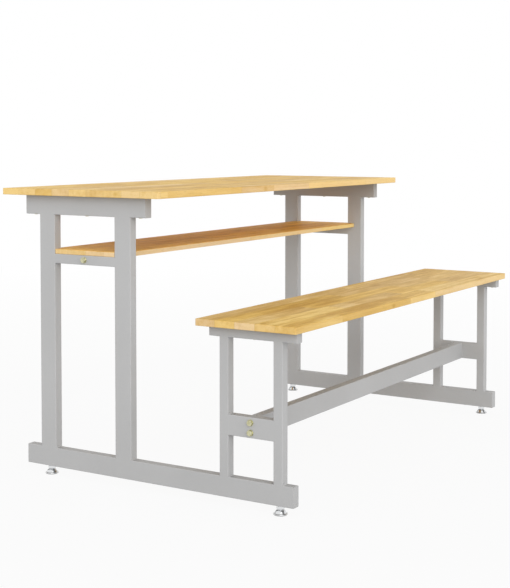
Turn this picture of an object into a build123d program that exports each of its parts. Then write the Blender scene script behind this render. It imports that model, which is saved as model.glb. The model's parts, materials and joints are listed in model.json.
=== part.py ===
"""School desk for two pupils, with the bench on the same steel frame.

Two welded end frames of rectangular steel tube stand on four levelling feet.
Three lacquered boards join them: the desktop, a book shelf below it and the seat.
A long tube, bolted between the bench legs, keeps the end frames upright.

X runs along the boards, Y from the bench towards the desk, Z up.
The origin is on the floor, in the middle of the whole desk. Lengths are in millimetres.
"""
import os

from build123d import *

# Overall size
DESK_HEIGHT = 750
SEAT_HEIGHT = 450
FRAME_LENGTH = 1300
BOARD_OVERHANG = 25
RUNNER_LENGTH = 810
RUNNER_FLOOR_GAP = 22

# Steel tube: wide side, narrow side, wall and corner radii
TUBE_WIDE = 50
TUBE_NARROW = 25
TUBE_WALL = 1.5
TUBE_OUTER_CORNER = 2
TUBE_INNER_CORNER = 0.6
CAP_THICKNESS = 1.5

# Desk end of each frame, measured from the runner's end under the desk.
# The shelf window is the open height between the shelf and the rail above it.
DESK_LEG_SETBACK = 46
DESK_LEG_PITCH = 245
TOP_RAIL_LENGTH = 388
SHELF_WINDOW_HEIGHT = 89

# Bench end of each frame, measured from the runner's end under the bench.
# The cross rail rises from the top of the runner.
BENCH_LEG_SETBACK = 29
BENCH_LEG_PITCH = 150
SEAT_RAIL_REAR_OVERHANG = 38
SEAT_RAIL_FRONT_OVERHANG = 29
CROSS_RAIL_RISE = 101

# Boards
DESKTOP_DEPTH = 505
DESKTOP_REAR_OVERHANG = 60
DESKTOP_THICKNESS = 17
SEAT_DEPTH = 278
SEAT_REAR_OVERHANG = 21
SEAT_THICKNESS = 17
SHELF_DEPTH = 236
SHELF_THICKNESS = 12
SHELF_FRAME_CLEARANCE = 1
BOARD_CORNER = 2
BOARD_EDGE = 1

# Screws that hold the boards, driven up from below
SCREW_RADIUS = 2.25
SCREW_HEAD_RADIUS = 4.5
SCREW_HEAD_HEIGHT = 2.6
SCREW_TIP_LENGTH = 4
SCREW_TIP_RADIUS = 0.5
SCREW_FIT = 0.05
SCREW_HOLE_CLEARANCE = 0.5
SCREW_BITE_SHARE = 0.7
TOP_RAIL_SCREW_SHARES = (0.06, 0.5, 0.94)
SEAT_RAIL_SCREW_SHARES = (0.07, 0.5, 0.93)

# Bolts through the frames, with their washers and nuts
BOLT_RADIUS = 4
BOLT_HEAD_FLATS = 13
BOLT_HEAD_HEIGHT = 5.3
BOLT_HEAD_CHAMFER = 0.8
BOLT_TAIL = 3
BOLT_HOLE_CLEARANCE = 0.5
THREAD_FIT = 0.05
WASHER_RADIUS = 8
WASHER_THICKNESS = 1.6
NUT_FLATS = 13
NUT_HEIGHT = 6.5
STRETCHER_BOLT_SPACING = 24
END_PLATE_THICKNESS = 4

# Angle bracket that ties each end of the shelf to its rail
BRACKET_WIDTH = 40
BRACKET_REACH = 32
BRACKET_THICKNESS = 3
BRACKET_DROP_SHARE = 0.92
BRACKET_SCREW_REACH_SHARE = 0.75
BRACKET_SCREW_SPREAD_SHARE = 0.6

# Levelling feet
FOOT_TRAVEL = 15
FOOT_CUP_RADIUS = 17.5
FOOT_CUP_WALL = 1.2
FOOT_CUP_RIM_HEIGHT = 2.5
FOOT_CUP_LIP = 0.8
FOOT_CUP_HEIGHT = 12
FOOT_CUP_TOP_RADIUS = 10
FOOT_PAD_REVEAL = 1
FOOT_COLLAR_FLATS = 17
FOOT_COLLAR_CHAMFER = 0.6
FOOT_STUD_RADIUS = 4
FOOT_STUD_SPARE = 3
FOOT_STUD_HOLE_CLEARANCE = 0.5
FOOT_RIVET_RADIUS = 6.5
FOOT_RIVET_HEIGHT = 1.5
RUNNING_GAP = 0.3

# One overrun serves every cut that has to pass right through
OVERRUN = 1

# Levels
desktop_bottom = DESK_HEIGHT - DESKTOP_THICKNESS
top_rail_bottom = desktop_bottom - TUBE_WIDE
seat_bottom = SEAT_HEIGHT - SEAT_THICKNESS
seat_rail_bottom = seat_bottom - TUBE_NARROW
runner_top = RUNNER_FLOOR_GAP + TUBE_WIDE
shelf_rail_top = top_rail_bottom - SHELF_WINDOW_HEIGHT - SHELF_THICKNESS
shelf_rail_bottom = shelf_rail_top - TUBE_NARROW
cross_rail_bottom = runner_top + CROSS_RAIL_RISE
cross_rail_top = cross_rail_bottom + TUBE_WIDE

# Stations along Y
overall_depth = RUNNER_LENGTH + DESKTOP_REAR_OVERHANG + SEAT_REAR_OVERHANG
runner_bench_end = SEAT_REAR_OVERHANG - overall_depth / 2
runner_desk_end = overall_depth / 2 - DESKTOP_REAR_OVERHANG
desk_back_leg_y = runner_desk_end - DESK_LEG_SETBACK - TUBE_WIDE / 2
desk_front_leg_y = desk_back_leg_y - DESK_LEG_PITCH
bench_back_leg_y = runner_bench_end + BENCH_LEG_SETBACK + TUBE_NARROW / 2
bench_front_leg_y = bench_back_leg_y + BENCH_LEG_PITCH
seat_rail_rear = bench_back_leg_y - TUBE_NARROW / 2 - SEAT_RAIL_REAR_OVERHANG
seat_rail_front = bench_front_leg_y + TUBE_NARROW / 2 + SEAT_RAIL_FRONT_OVERHANG
shelf_front = desk_front_leg_y
shelf_bolt_y = (desk_front_leg_y + desk_back_leg_y) / 2
stretcher_y = (bench_back_leg_y + bench_front_leg_y) / 2

# Heights of the three bolts in each frame
shelf_bolt_z = shelf_rail_bottom + TUBE_NARROW / 2
stretcher_middle_z = cross_rail_bottom + TUBE_WIDE / 2
stretcher_bolt_levels = (
    stretcher_middle_z - STRETCHER_BOLT_SPACING / 2,
    stretcher_middle_z + STRETCHER_BOLT_SPACING / 2,
)

# Levels inside a foot
cup_bottom = FOOT_PAD_REVEAL
cup_rim_top = cup_bottom + FOOT_CUP_RIM_HEIGHT
cup_top = cup_bottom + FOOT_CUP_HEIGHT
collar_bottom = cup_top + RUNNING_GAP
collar_top = RUNNER_FLOOR_GAP - RUNNING_GAP
foot_nut_bottom = RUNNER_FLOOR_GAP + TUBE_WALL
stud_top = foot_nut_bottom + NUT_HEIGHT + FOOT_TRAVEL + FOOT_STUD_SPARE
rivet_top = cup_top - FOOT_CUP_WALL - RUNNING_GAP

half_frame = FRAME_LENGTH / 2
inner_half_frame = half_frame - TUBE_NARROW
half_board = half_frame + BOARD_OVERHANG

SIDES = {"left": -1, "right": 1}
FOOT_STATIONS = {"bench": bench_back_leg_y, "desk": desk_back_leg_y}


def rod(radius, start, direction, length):
    """Round bar of a given radius from a start point."""
    return extrude(Plane(origin=start, z_dir=direction) * Circle(radius), amount=length)


def hex_bar(flats, start, direction, length):
    """Six-sided bar measured across its flats."""
    outline = RegularPolygon(radius=flats / 2, side_count=6, major_radius=False)
    return extrude(Plane(origin=start, z_dir=direction) * outline, amount=length)


def block(low, high):
    """Plain block between two opposite corners."""
    size = [b - a for a, b in zip(low, high)]
    middle = [(a + b) / 2 for a, b in zip(low, high)]
    return Pos(*middle) * Box(*size)


def tube_plane(low, high, run):
    """Sketch plane on the tube's first end, with the section's two sizes."""
    size = [b - a for a, b in zip(low, high)]
    start = [(a + b) / 2 for a, b in zip(low, high)]
    start[run] = low[run]
    across = 1 if run == 0 else 0
    up = 1 if run == 2 else 2
    x_dir = [1 if axis == across else 0 for axis in range(3)]
    z_dir = [1 if axis == run else 0 for axis in range(3)]
    plane = Plane(origin=start, x_dir=x_dir, z_dir=z_dir)
    return plane, size[across], size[up], size[run]


def tube(low, high, run):
    """Open-ended rectangular tube that fills the box from low to high along run."""
    plane, width, height, length = tube_plane(low, high, run)
    outside = RectangleRounded(width, height, TUBE_OUTER_CORNER)
    inside = RectangleRounded(width - 2 * TUBE_WALL, height - 2 * TUBE_WALL, TUBE_INNER_CORNER)
    return extrude(plane * (outside - inside), amount=length)


def plate(low, high, run):
    """Solid plate with the tube's rounded outline, as thick as the box is along run."""
    plane, width, height, length = tube_plane(low, high, run)
    return extrude(plane * RectangleRounded(width, height, TUBE_OUTER_CORNER), amount=length)


def board(low, high):
    """Wooden board with softened corners and edges."""
    raw = block(low, high)
    rounded = fillet(raw.edges().filter_by(Axis.Z), BOARD_CORNER)
    rims = rounded.faces().sort_by(Axis.Z)[0].edges() + rounded.faces().sort_by(Axis.Z)[-1].edges()
    return fillet(rims, BOARD_EDGE)


def frame_span(side):
    """Low and high X of the end frame on one side."""
    return sorted((side * inner_half_frame, side * half_frame))


def shares_along(start, end, shares):
    """Places between start and end, given as shares of the way."""
    return [start + (end - start) * share for share in shares]


def rail_screw_stations():
    """Y of the screws in the top rail and in the seat rail."""
    top = shares_along(runner_desk_end - TOP_RAIL_LENGTH, runner_desk_end, TOP_RAIL_SCREW_SHARES)
    seat = shares_along(seat_rail_rear, seat_rail_front, SEAT_RAIL_SCREW_SHARES)
    return top, seat


def bracket_screw_points(side):
    """X and Y of the two screws that go up through an angle bracket."""
    x = side * (inner_half_frame - BRACKET_REACH * BRACKET_SCREW_REACH_SHARE)
    spread = BRACKET_WIDTH * BRACKET_SCREW_SPREAD_SHARE / 2
    return [(x, shelf_bolt_y - spread), (x, shelf_bolt_y + spread)]


def wood_screw(x, y, head_bottom, board_bottom, board_thickness):
    """Pan-head screw from below: head, shank and a short point inside the board."""
    seat = head_bottom + SCREW_HEAD_HEIGHT
    tip = board_bottom + board_thickness * SCREW_BITE_SHARE
    shoulder = tip - SCREW_TIP_LENGTH
    outline = make_face(Polyline(
        (0, head_bottom),
        (SCREW_HEAD_RADIUS - SCREW_HEAD_HEIGHT / 2, head_bottom),
        (SCREW_HEAD_RADIUS, head_bottom + SCREW_HEAD_HEIGHT / 2),
        (SCREW_HEAD_RADIUS, seat),
        (SCREW_RADIUS, seat),
        (SCREW_RADIUS, shoulder),
        (SCREW_TIP_RADIUS, tip),
        (0, tip),
        close=True,
    ))
    return Pos(x, y, 0) * revolve(Plane.XZ * outline, Axis.Z)


def screw_hole(x, y, bottom, top, clearance):
    """Upright round hole for a screw."""
    return rod(SCREW_RADIUS + clearance, (x, y, bottom), (0, 0, 1), top - bottom)


def runner(side):
    """Tube on the floor side of an end frame, drilled below for its two feet."""
    low_x, high_x = frame_span(side)
    low = (low_x, runner_bench_end + CAP_THICKNESS, RUNNER_FLOOR_GAP)
    high = (high_x, runner_desk_end - CAP_THICKNESS, runner_top)
    body = tube(low, high, 1)
    for y in FOOT_STATIONS.values():
        start = ((low_x + high_x) / 2, y, RUNNER_FLOOR_GAP - OVERRUN)
        body -= rod(FOOT_STUD_RADIUS + FOOT_STUD_HOLE_CLEARANCE, start, (0, 0, 1), TUBE_WALL + 2 * OVERRUN)
    return body


def rail_under_board(side, rear, front, bottom, height, stations):
    """Tube under a board, drilled right through for its screws."""
    low_x, high_x = frame_span(side)
    body = tube((low_x, rear + CAP_THICKNESS, bottom), (high_x, front - CAP_THICKNESS, bottom + height), 1)
    for y in stations:
        middle_x = (low_x + high_x) / 2
        body -= screw_hole(middle_x, y, bottom - OVERRUN, bottom + height + OVERRUN, SCREW_HOLE_CLEARANCE)
    return body


def end_caps(side, rear, front, bottom, height):
    """Two steel plates that close the ends of a tube lying along Y."""
    low_x, high_x = frame_span(side)
    rear_cap = plate((low_x, rear, bottom), (high_x, rear + CAP_THICKNESS, bottom + height), 1)
    front_cap = plate((low_x, front - CAP_THICKNESS, bottom), (high_x, front, bottom + height), 1)
    return Compound(children=[rear_cap, front_cap])


def upright(side, middle_y, width, bottom, top):
    """Leg of an end frame."""
    low_x, high_x = frame_span(side)
    return tube((low_x, middle_y - width / 2, bottom), (high_x, middle_y + width / 2, top), 2)


def cross_tube(side, rear, front, bottom, height, bolt_y, bolt_levels):
    """Tube between two legs of one frame, drilled along X for its bolts."""
    low_x, high_x = frame_span(side)
    body = tube((low_x, rear, bottom), (high_x, front, bottom + height), 1)
    for z in bolt_levels:
        start = (low_x - OVERRUN, bolt_y, z)
        body -= rod(BOLT_RADIUS + BOLT_HOLE_CLEARANCE, start, (1, 0, 0), TUBE_NARROW + 2 * OVERRUN)
    return body


def bolt_places():
    """Y, Z and clamped thickness behind the tube of each bolt in a frame."""
    places = [(stretcher_y, z, END_PLATE_THICKNESS) for z in stretcher_bolt_levels]
    places.append((shelf_bolt_y, shelf_bolt_z, BRACKET_THICKNESS))
    return places


def bolt(side, y, z, clamped):
    """Hexagon-head bolt that enters the tube from outside."""
    under_head = side * (half_frame + WASHER_THICKNESS)
    outward = (side, 0, 0)
    inward = (-side, 0, 0)
    head = hex_bar(BOLT_HEAD_FLATS, (under_head, y, z), outward, BOLT_HEAD_HEIGHT)
    crown = head.faces().sort_by(Axis.X)[-1 if side > 0 else 0]
    head = chamfer(crown.edges(), BOLT_HEAD_CHAMFER)
    grip = WASHER_THICKNESS + TUBE_NARROW + clamped
    shank = rod(BOLT_RADIUS, (under_head, y, z), inward, grip + NUT_HEIGHT + BOLT_TAIL)
    return head + shank


def washer(side, y, z):
    """Flat ring under a bolt's head."""
    start = (side * half_frame, y, z)
    ring = rod(WASHER_RADIUS, start, (side, 0, 0), WASHER_THICKNESS)
    return ring - rod(BOLT_RADIUS + BOLT_HOLE_CLEARANCE, start, (side, 0, 0), WASHER_THICKNESS)


def bolt_nut(side, y, z, clamped):
    """Nut behind the plate or bracket that a bolt clamps."""
    start = (side * (inner_half_frame - clamped), y, z)
    inward = (-side, 0, 0)
    body = hex_bar(NUT_FLATS, start, inward, NUT_HEIGHT)
    return body - rod(BOLT_RADIUS + THREAD_FIT, start, inward, NUT_HEIGHT)


def end_plate(side):
    """Plate welded into one end of the stretcher, drilled for its two bolts."""
    inner = side * (inner_half_frame - END_PLATE_THICKNESS)
    low_x, high_x = sorted((inner, side * inner_half_frame))
    half_width = TUBE_NARROW / 2
    low = (low_x, stretcher_y - half_width, cross_rail_bottom)
    high = (high_x, stretcher_y + half_width, cross_rail_top)
    body = plate(low, high, 0)
    for z in stretcher_bolt_levels:
        start = (low_x - OVERRUN, stretcher_y, z)
        length = END_PLATE_THICKNESS + 2 * OVERRUN
        body -= rod(BOLT_RADIUS + BOLT_HOLE_CLEARANCE, start, (1, 0, 0), length)
    return body


def shelf_bracket(side):
    """Angle of flat steel: one leg on the shelf rail, the other under the shelf."""
    half_width = BRACKET_WIDTH / 2
    front, rear = shelf_bolt_y - half_width, shelf_bolt_y + half_width
    root = side * inner_half_frame
    bottom = shelf_rail_top - TUBE_NARROW * BRACKET_DROP_SHARE
    wall_low, wall_high = sorted((root, root - side * BRACKET_THICKNESS))
    ledge_low, ledge_high = sorted((root, root - side * BRACKET_REACH))
    body = block((wall_low, front, bottom), (wall_high, rear, shelf_rail_top))
    body += block((ledge_low, front, shelf_rail_top - BRACKET_THICKNESS), (ledge_high, rear, shelf_rail_top))
    start = (wall_low - OVERRUN, shelf_bolt_y, shelf_bolt_z)
    length = BRACKET_THICKNESS + 2 * OVERRUN
    body -= rod(BOLT_RADIUS + BOLT_HOLE_CLEARANCE, start, (1, 0, 0), length)
    for x, y in bracket_screw_points(side):
        low = shelf_rail_top - BRACKET_THICKNESS - OVERRUN
        body -= screw_hole(x, y, low, shelf_rail_top + OVERRUN, SCREW_HOLE_CLEARANCE)
    return body


def foot_nut(side, y):
    """Nut welded inside the runner over a foot's hole."""
    start = (side * (half_frame - TUBE_NARROW / 2), y, foot_nut_bottom)
    body = hex_bar(NUT_FLATS, start, (0, 0, 1), NUT_HEIGHT)
    return body - rod(FOOT_STUD_RADIUS + THREAD_FIT, start, (0, 0, 1), NUT_HEIGHT)


def end_frame(side):
    """All fixed pieces of one end frame, by name."""
    top_rail = (runner_desk_end - TOP_RAIL_LENGTH, runner_desk_end, top_rail_bottom, TUBE_WIDE)
    seat_rail = (seat_rail_rear, seat_rail_front, seat_rail_bottom, TUBE_NARROW)
    top_stations, seat_stations = rail_screw_stations()
    middle_x = side * (half_frame - TUBE_NARROW / 2)
    places = bolt_places()
    pieces = {
        "runner": runner(side),
        "runner_caps": end_caps(side, runner_bench_end, runner_desk_end, RUNNER_FLOOR_GAP, TUBE_WIDE),
        "desk_back_leg": upright(side, desk_back_leg_y, TUBE_WIDE, runner_top, top_rail_bottom),
        "desk_front_leg": upright(side, desk_front_leg_y, TUBE_WIDE, runner_top, top_rail_bottom),
        "desk_top_rail": rail_under_board(side, *top_rail, top_stations),
        "desk_top_rail_caps": end_caps(side, *top_rail),
        "bench_back_leg": upright(side, bench_back_leg_y, TUBE_NARROW, runner_top, seat_rail_bottom),
        "bench_front_leg": upright(side, bench_front_leg_y, TUBE_NARROW, runner_top, seat_rail_bottom),
        "seat_rail": rail_under_board(side, *seat_rail, seat_stations),
        "seat_rail_caps": end_caps(side, *seat_rail),
        "shelf_bracket": shelf_bracket(side),
        "stretcher_end_plate": end_plate(side),
    }
    pieces["shelf_rail"] = cross_tube(
        side, desk_front_leg_y + TUBE_WIDE / 2, desk_back_leg_y - TUBE_WIDE / 2,
        shelf_rail_bottom, TUBE_NARROW, shelf_bolt_y, [shelf_bolt_z])
    pieces["bench_cross_rail"] = cross_tube(
        side, bench_back_leg_y + TUBE_NARROW / 2, bench_front_leg_y - TUBE_NARROW / 2,
        cross_rail_bottom, TUBE_WIDE, stretcher_y, stretcher_bolt_levels)
    pieces["bolts"] = Compound(children=[bolt(side, *place) for place in places])
    pieces["washers"] = Compound(children=[washer(side, y, z) for y, z, _ in places])
    pieces["nuts"] = Compound(children=[bolt_nut(side, *place) for place in places])
    pieces["foot_nuts"] = Compound(children=[foot_nut(side, y) for y in FOOT_STATIONS.values()])
    pieces["desktop_screws"] = Compound(children=[
        wood_screw(middle_x, y, top_rail_bottom - SCREW_HEAD_HEIGHT, desktop_bottom, DESKTOP_THICKNESS)
        for y in top_stations])
    pieces["seat_screws"] = Compound(children=[
        wood_screw(middle_x, y, seat_rail_bottom - SCREW_HEAD_HEIGHT, seat_bottom, SEAT_THICKNESS)
        for y in seat_stations])
    ledge_bottom = shelf_rail_top - BRACKET_THICKNESS
    pieces["shelf_screws"] = Compound(children=[
        wood_screw(x, y, ledge_bottom - SCREW_HEAD_HEIGHT, shelf_rail_top, SHELF_THICKNESS)
        for x, y in bracket_screw_points(side)])
    return pieces


def foot_cup(x, y):
    """Pressed chrome cup: an upright rim, then a cone up to a small flat top."""
    bore = FOOT_STUD_RADIUS + THREAD_FIT
    inner_rim = FOOT_CUP_RADIUS - FOOT_CUP_WALL
    wall = Polyline(
        (inner_rim, cup_bottom),
        (FOOT_CUP_RADIUS - FOOT_CUP_LIP, cup_bottom),
        (FOOT_CUP_RADIUS, cup_bottom + FOOT_CUP_LIP),
        (FOOT_CUP_RADIUS, cup_rim_top - FOOT_CUP_LIP),
        (FOOT_CUP_RADIUS - FOOT_CUP_LIP, cup_rim_top),
        (FOOT_CUP_TOP_RADIUS, cup_top),
        (bore, cup_top),
        (bore, cup_top - FOOT_CUP_WALL),
        (FOOT_CUP_TOP_RADIUS - FOOT_CUP_WALL, cup_top - FOOT_CUP_WALL),
        (inner_rim, cup_rim_top - FOOT_CUP_LIP),
        close=True,
    )
    return Pos(x, y, 0) * revolve(Plane.XZ * make_face(wall), Axis.Z)


def foot_pad(x, y):
    """Plastic disc inside the cup's rim, the only piece that meets the floor."""
    radius = FOOT_CUP_RADIUS - FOOT_CUP_WALL
    return rod(radius, (x, y, 0), (0, 0, 1), cup_rim_top - FOOT_CUP_LIP)


def foot_stem(x, y):
    """Stud with a hexagon collar to turn it by, riveted so that it spins in the cup."""
    collar = hex_bar(FOOT_COLLAR_FLATS, (x, y, collar_bottom), (0, 0, 1), collar_top - collar_bottom)
    collar = chamfer(collar.faces().sort_by(Axis.Z)[-1].edges(), FOOT_COLLAR_CHAMFER)
    collar = chamfer(collar.faces().sort_by(Axis.Z)[0].edges(), FOOT_COLLAR_CHAMFER)
    rivet_bottom = rivet_top - FOOT_RIVET_HEIGHT
    stud = rod(FOOT_STUD_RADIUS, (x, y, rivet_bottom), (0, 0, 1), stud_top - rivet_bottom)
    rivet = rod(FOOT_RIVET_RADIUS, (x, y, rivet_bottom), (0, 0, 1), FOOT_RIVET_HEIGHT)
    return collar + stud + rivet


def stretcher():
    """Long tube between the bench legs of the two frames."""
    reach = inner_half_frame - END_PLATE_THICKNESS
    half_width = TUBE_NARROW / 2
    low = (-reach, stretcher_y - half_width, cross_rail_bottom)
    high = (reach, stretcher_y + half_width, cross_rail_top)
    return tube(low, high, 0)


def rail_screwed_board(rear, front, bottom, top, stations):
    """Board on the two rails, with blind holes for the screws of both frames."""
    body = board((-half_board, rear, bottom), (half_board, front, top))
    hole_top = bottom + (top - bottom) * SCREW_BITE_SHARE + SCREW_FIT
    for side in SIDES.values():
        for y in stations:
            middle_x = side * (half_frame - TUBE_NARROW / 2)
            body -= screw_hole(middle_x, y, bottom - OVERRUN, hole_top, SCREW_FIT)
    return body


def desktop():
    """Flat, level top, screwed to the two top rails."""
    back = runner_desk_end + DESKTOP_REAR_OVERHANG
    stations = rail_screw_stations()[0]
    return rail_screwed_board(back - DESKTOP_DEPTH, back, desktop_bottom, DESK_HEIGHT, stations)


def seat():
    """Bench seat, screwed to the two seat rails."""
    rear = runner_bench_end - SEAT_REAR_OVERHANG
    stations = rail_screw_stations()[1]
    return rail_screwed_board(rear, rear + SEAT_DEPTH, seat_bottom, SEAT_HEIGHT, stations)


def shelf():
    """Book shelf: wide between the frames, with a tongue between the legs at each end."""
    top = shelf_rail_top + SHELF_THICKNESS
    wide = inner_half_frame - SHELF_FRAME_CLEARANCE
    tongue_front = desk_front_leg_y + TUBE_WIDE / 2 + SHELF_FRAME_CLEARANCE
    tongue_back = desk_back_leg_y - TUBE_WIDE / 2 - SHELF_FRAME_CLEARANCE
    body = board((-wide, shelf_front, shelf_rail_top), (wide, shelf_front + SHELF_DEPTH, top))
    body += board((-half_frame, tongue_front, shelf_rail_top), (half_frame, tongue_back, top))
    hole_top = shelf_rail_top + SHELF_THICKNESS * SCREW_BITE_SHARE + SCREW_FIT
    for side in SIDES.values():
        for x, y in bracket_screw_points(side):
            body -= screw_hole(x, y, shelf_rail_top - OVERRUN, hole_top, SCREW_FIT)
    return body


def all_pieces():
    """Every piece of the desk by its node name."""
    pieces = {"desktop": desktop(), "shelf": shelf(), "seat": seat(), "stretcher": stretcher()}
    for side_name, side in SIDES.items():
        for name, shape in end_frame(side).items():
            pieces[f"{side_name}_{name}"] = shape
        x = side * (half_frame - TUBE_NARROW / 2)
        for end_name, y in FOOT_STATIONS.items():
            foot = f"{side_name}_{end_name}_foot"
            pieces[f"{foot}_cup"] = foot_cup(x, y)
            pieces[f"{foot}_pad"] = foot_pad(x, y)
            pieces[f"{foot}_stem"] = foot_stem(x, y)
    return pieces


os.makedirs("parts", exist_ok=True)
for node, shape in all_pieces().items():
    export_step(shape, f"parts/{node}.step")
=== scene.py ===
"""School desk with a bench on the same frame: its finishes, welds, fasteners, feet and a plain studio.

The frame is the solid model. This script dresses it: powder coat and welds on the steel tube,
lacquered stave wood on the three boards, threaded fasteners and chrome levelling feet in place of
the plain ones, and the floor, light and camera of the photograph. Lengths are in metres.
"""
import json
import math

import bmesh
import bpy
from bpy.props import FloatProperty, FloatVectorProperty, IntProperty, PointerProperty
from bpy.types import Operator, Panel, PropertyGroup
from mathutils import Matrix, Vector

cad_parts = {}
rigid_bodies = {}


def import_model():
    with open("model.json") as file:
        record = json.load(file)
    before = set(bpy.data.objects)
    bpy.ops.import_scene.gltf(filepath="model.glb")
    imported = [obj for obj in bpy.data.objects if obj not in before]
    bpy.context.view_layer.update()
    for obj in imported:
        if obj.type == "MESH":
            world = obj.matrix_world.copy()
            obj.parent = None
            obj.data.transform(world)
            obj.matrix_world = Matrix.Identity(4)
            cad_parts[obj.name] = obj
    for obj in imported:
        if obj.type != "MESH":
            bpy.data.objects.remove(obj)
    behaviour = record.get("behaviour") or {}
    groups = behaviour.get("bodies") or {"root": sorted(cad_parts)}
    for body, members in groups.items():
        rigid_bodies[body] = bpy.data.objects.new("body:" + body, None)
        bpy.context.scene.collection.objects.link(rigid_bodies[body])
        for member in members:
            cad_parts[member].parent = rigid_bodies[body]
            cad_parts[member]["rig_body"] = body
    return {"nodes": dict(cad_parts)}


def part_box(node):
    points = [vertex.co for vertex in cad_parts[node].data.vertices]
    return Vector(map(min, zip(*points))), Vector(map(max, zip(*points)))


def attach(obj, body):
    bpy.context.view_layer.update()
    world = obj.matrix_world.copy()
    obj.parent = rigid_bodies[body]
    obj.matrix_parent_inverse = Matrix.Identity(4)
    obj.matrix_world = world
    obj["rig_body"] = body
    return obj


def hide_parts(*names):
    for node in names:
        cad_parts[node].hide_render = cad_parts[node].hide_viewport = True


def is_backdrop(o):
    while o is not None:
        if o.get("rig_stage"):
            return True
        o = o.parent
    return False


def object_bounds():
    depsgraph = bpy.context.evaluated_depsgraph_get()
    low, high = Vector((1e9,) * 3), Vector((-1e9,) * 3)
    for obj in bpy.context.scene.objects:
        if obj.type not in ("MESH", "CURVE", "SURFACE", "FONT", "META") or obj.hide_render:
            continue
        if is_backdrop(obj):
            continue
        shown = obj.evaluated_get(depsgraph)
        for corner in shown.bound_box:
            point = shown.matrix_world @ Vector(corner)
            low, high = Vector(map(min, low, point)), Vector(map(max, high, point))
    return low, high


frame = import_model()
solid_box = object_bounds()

bl_info = {
    "name": "School desk finishes",
    "version": (1, 0, 0),
    "blender": (4, 5, 0),
    "location": "3D View > Sidebar > Desk",
    "description": "Dresses a school desk with its wood, paint, fasteners and levelling feet",
    "category": "Object",
}

FIXED_BODY = "desk"

# The end frames, with the way from the desk's middle to each along X
SIDES = {"left": -1, "right": 1}
FEET = tuple(f"{side}_{end}_foot" for side in SIDES for end in ("bench", "desk"))

# Upright tubes of each end frame, and the rails between them
LEGS = ("desk_back_leg", "desk_front_leg", "bench_back_leg", "bench_front_leg")
RAILS_BETWEEN_LEGS = ("bench_cross_rail", "shelf_rail")

# Pieces of each end frame that are painted steel
PAINTED_PIECES = LEGS + RAILS_BETWEEN_LEGS + (
    "runner", "runner_caps", "desk_top_rail", "desk_top_rail_caps", "seat_rail", "seat_rail_caps",
    "shelf_bracket", "stretcher_end_plate")

# The photograph's size, the row that the camera's axis meets and the focal length, all in pixels
PHOTO_WIDTH = 510
PHOTO_HEIGHT = 588
AIM_ROW = 193
FOCAL_PIXELS = 1248.3

# The wood of each board, where a tone of 0 is pale cream and 1 is golden brown.
# tones: the tone of each stave, from the edge on the bench side.
# pieces: those that stand out, with stave number, start and end as shares of the length, and tone.
# knots: the two large ones, as shares of the board's length, depth and thickness.
# seed: picks the figure.
BOARDS = {
    "desktop": {
        "tones": (0.48, 0.45, 0.42, 0.50, 0.42, 0.47, 0.42, 0.50, 0.43),
        "pieces": (
            (0, 0.00, 0.03, 0.36), (0, 0.41, 1.00, 0.35), (1, 0.00, 0.05, 0.33), (1, 0.05, 0.30, 0.66),
            (1, 0.60, 1.00, 0.50), (2, 0.44, 0.72, 0.36), (3, 0.22, 0.60, 0.66), (3, 0.70, 1.00, 0.54),
            (4, 0.10, 0.34, 0.32), (5, 0.60, 1.00, 0.53), (6, 0.00, 0.10, 0.53), (6, 0.30, 0.66, 0.54),
            (7, 0.00, 0.16, 0.36), (7, 0.50, 0.90, 0.36), (8, 0.00, 0.12, 0.33)),
        "knots": ((0.0, 0.26, 0.55), (0.375, 0.0, 0.45)),
        "seed": 3.0},
    "seat": {
        "tones": (0.50, 0.46, 0.52, 0.47, 0.50),
        "pieces": (
            (0, 0.00, 0.464, 0.54), (0, 0.464, 1.00, 0.36), (1, 0.00, 0.04, 0.44), (1, 0.04, 0.33, 0.31),
            (1, 0.74, 1.00, 0.54), (2, 0.00, 0.10, 0.35), (2, 0.10, 0.36, 0.60), (2, 0.48, 0.68, 0.58),
            (3, 0.12, 0.36, 0.70), (3, 0.62, 1.00, 0.52), (4, 0.30, 0.62, 0.40)),
        "knots": ((0.385, 0.0, 0.45), (0.012, 0.35, 1.0)),
        "seed": 11.0},
    "shelf": {
        "tones": (0.33, 0.37, 0.44, 0.38),
        "pieces": (
            (0, 0.45, 0.80, 0.32), (1, 0.20, 0.50, 0.54), (2, 0.60, 0.85, 0.62), (3, 0.10, 0.40, 0.34)),
        "knots": ((0.70, 0.62, 1.0), (0.30, 0.35, 0.0)),
        "seed": 23.0},
}

# Noises of the wood, drawn out along the grain: scale along X, Y and Z, detail and roughness
FIBRES = ((7.0, 380.0, 380.0), 3.0, 0.6)
STREAKS = ((1.6, 55.0, 55.0), 3.0, 0.55)
CLOUDS = ((4.5, 16.0, 16.0), 2.0, 0.5)
MOTTLE = ((11.0, 95.0, 95.0), 2.0, 0.6)
FLAME = ((38.0, 30.0, 30.0), 4.0, 0.6)
FLECKS = ((85.0, 1300.0, 1300.0), 1.0, 0.5)
WANDER = ((1.3, 7.0, 7.0), 2.0, 0.5)

# Scale of the cells that small knots lie in, and shift of the noises from one piece to the next
KNOT_CELLS = (2.1, 9.0, 9.0)
PIECE_SHIFT = (3.7, 1.9, 2.3)

# Readings of a noise between which it does its work, from a gentle change to a hard one
WHOLE_RANGE = (0.0, 1.0)
GENTLE_RANGE = (0.25, 0.75)
SOFT_RANGE = (0.30, 0.70)
FIRM_RANGE = (0.35, 0.65)
HARD_RANGE = (0.38, 0.62)

# Plain white, and colours of dust on wood and on chrome, of rubbed zinc, of scuffed plastic, and of the dirt
# and painted shade on chrome
WHITE = (1.0, 1.0, 1.0)
WOOD_DUST = (0.60, 0.56, 0.50)
CHROME_DUST = (0.55, 0.53, 0.50)
RUBBED_ZINC = (0.80, 0.80, 0.78)
SCUFFED_PLASTIC = (0.16, 0.16, 0.15)
GRIME_AND_SHADE = (0.20, 0.19, 0.18)

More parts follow.
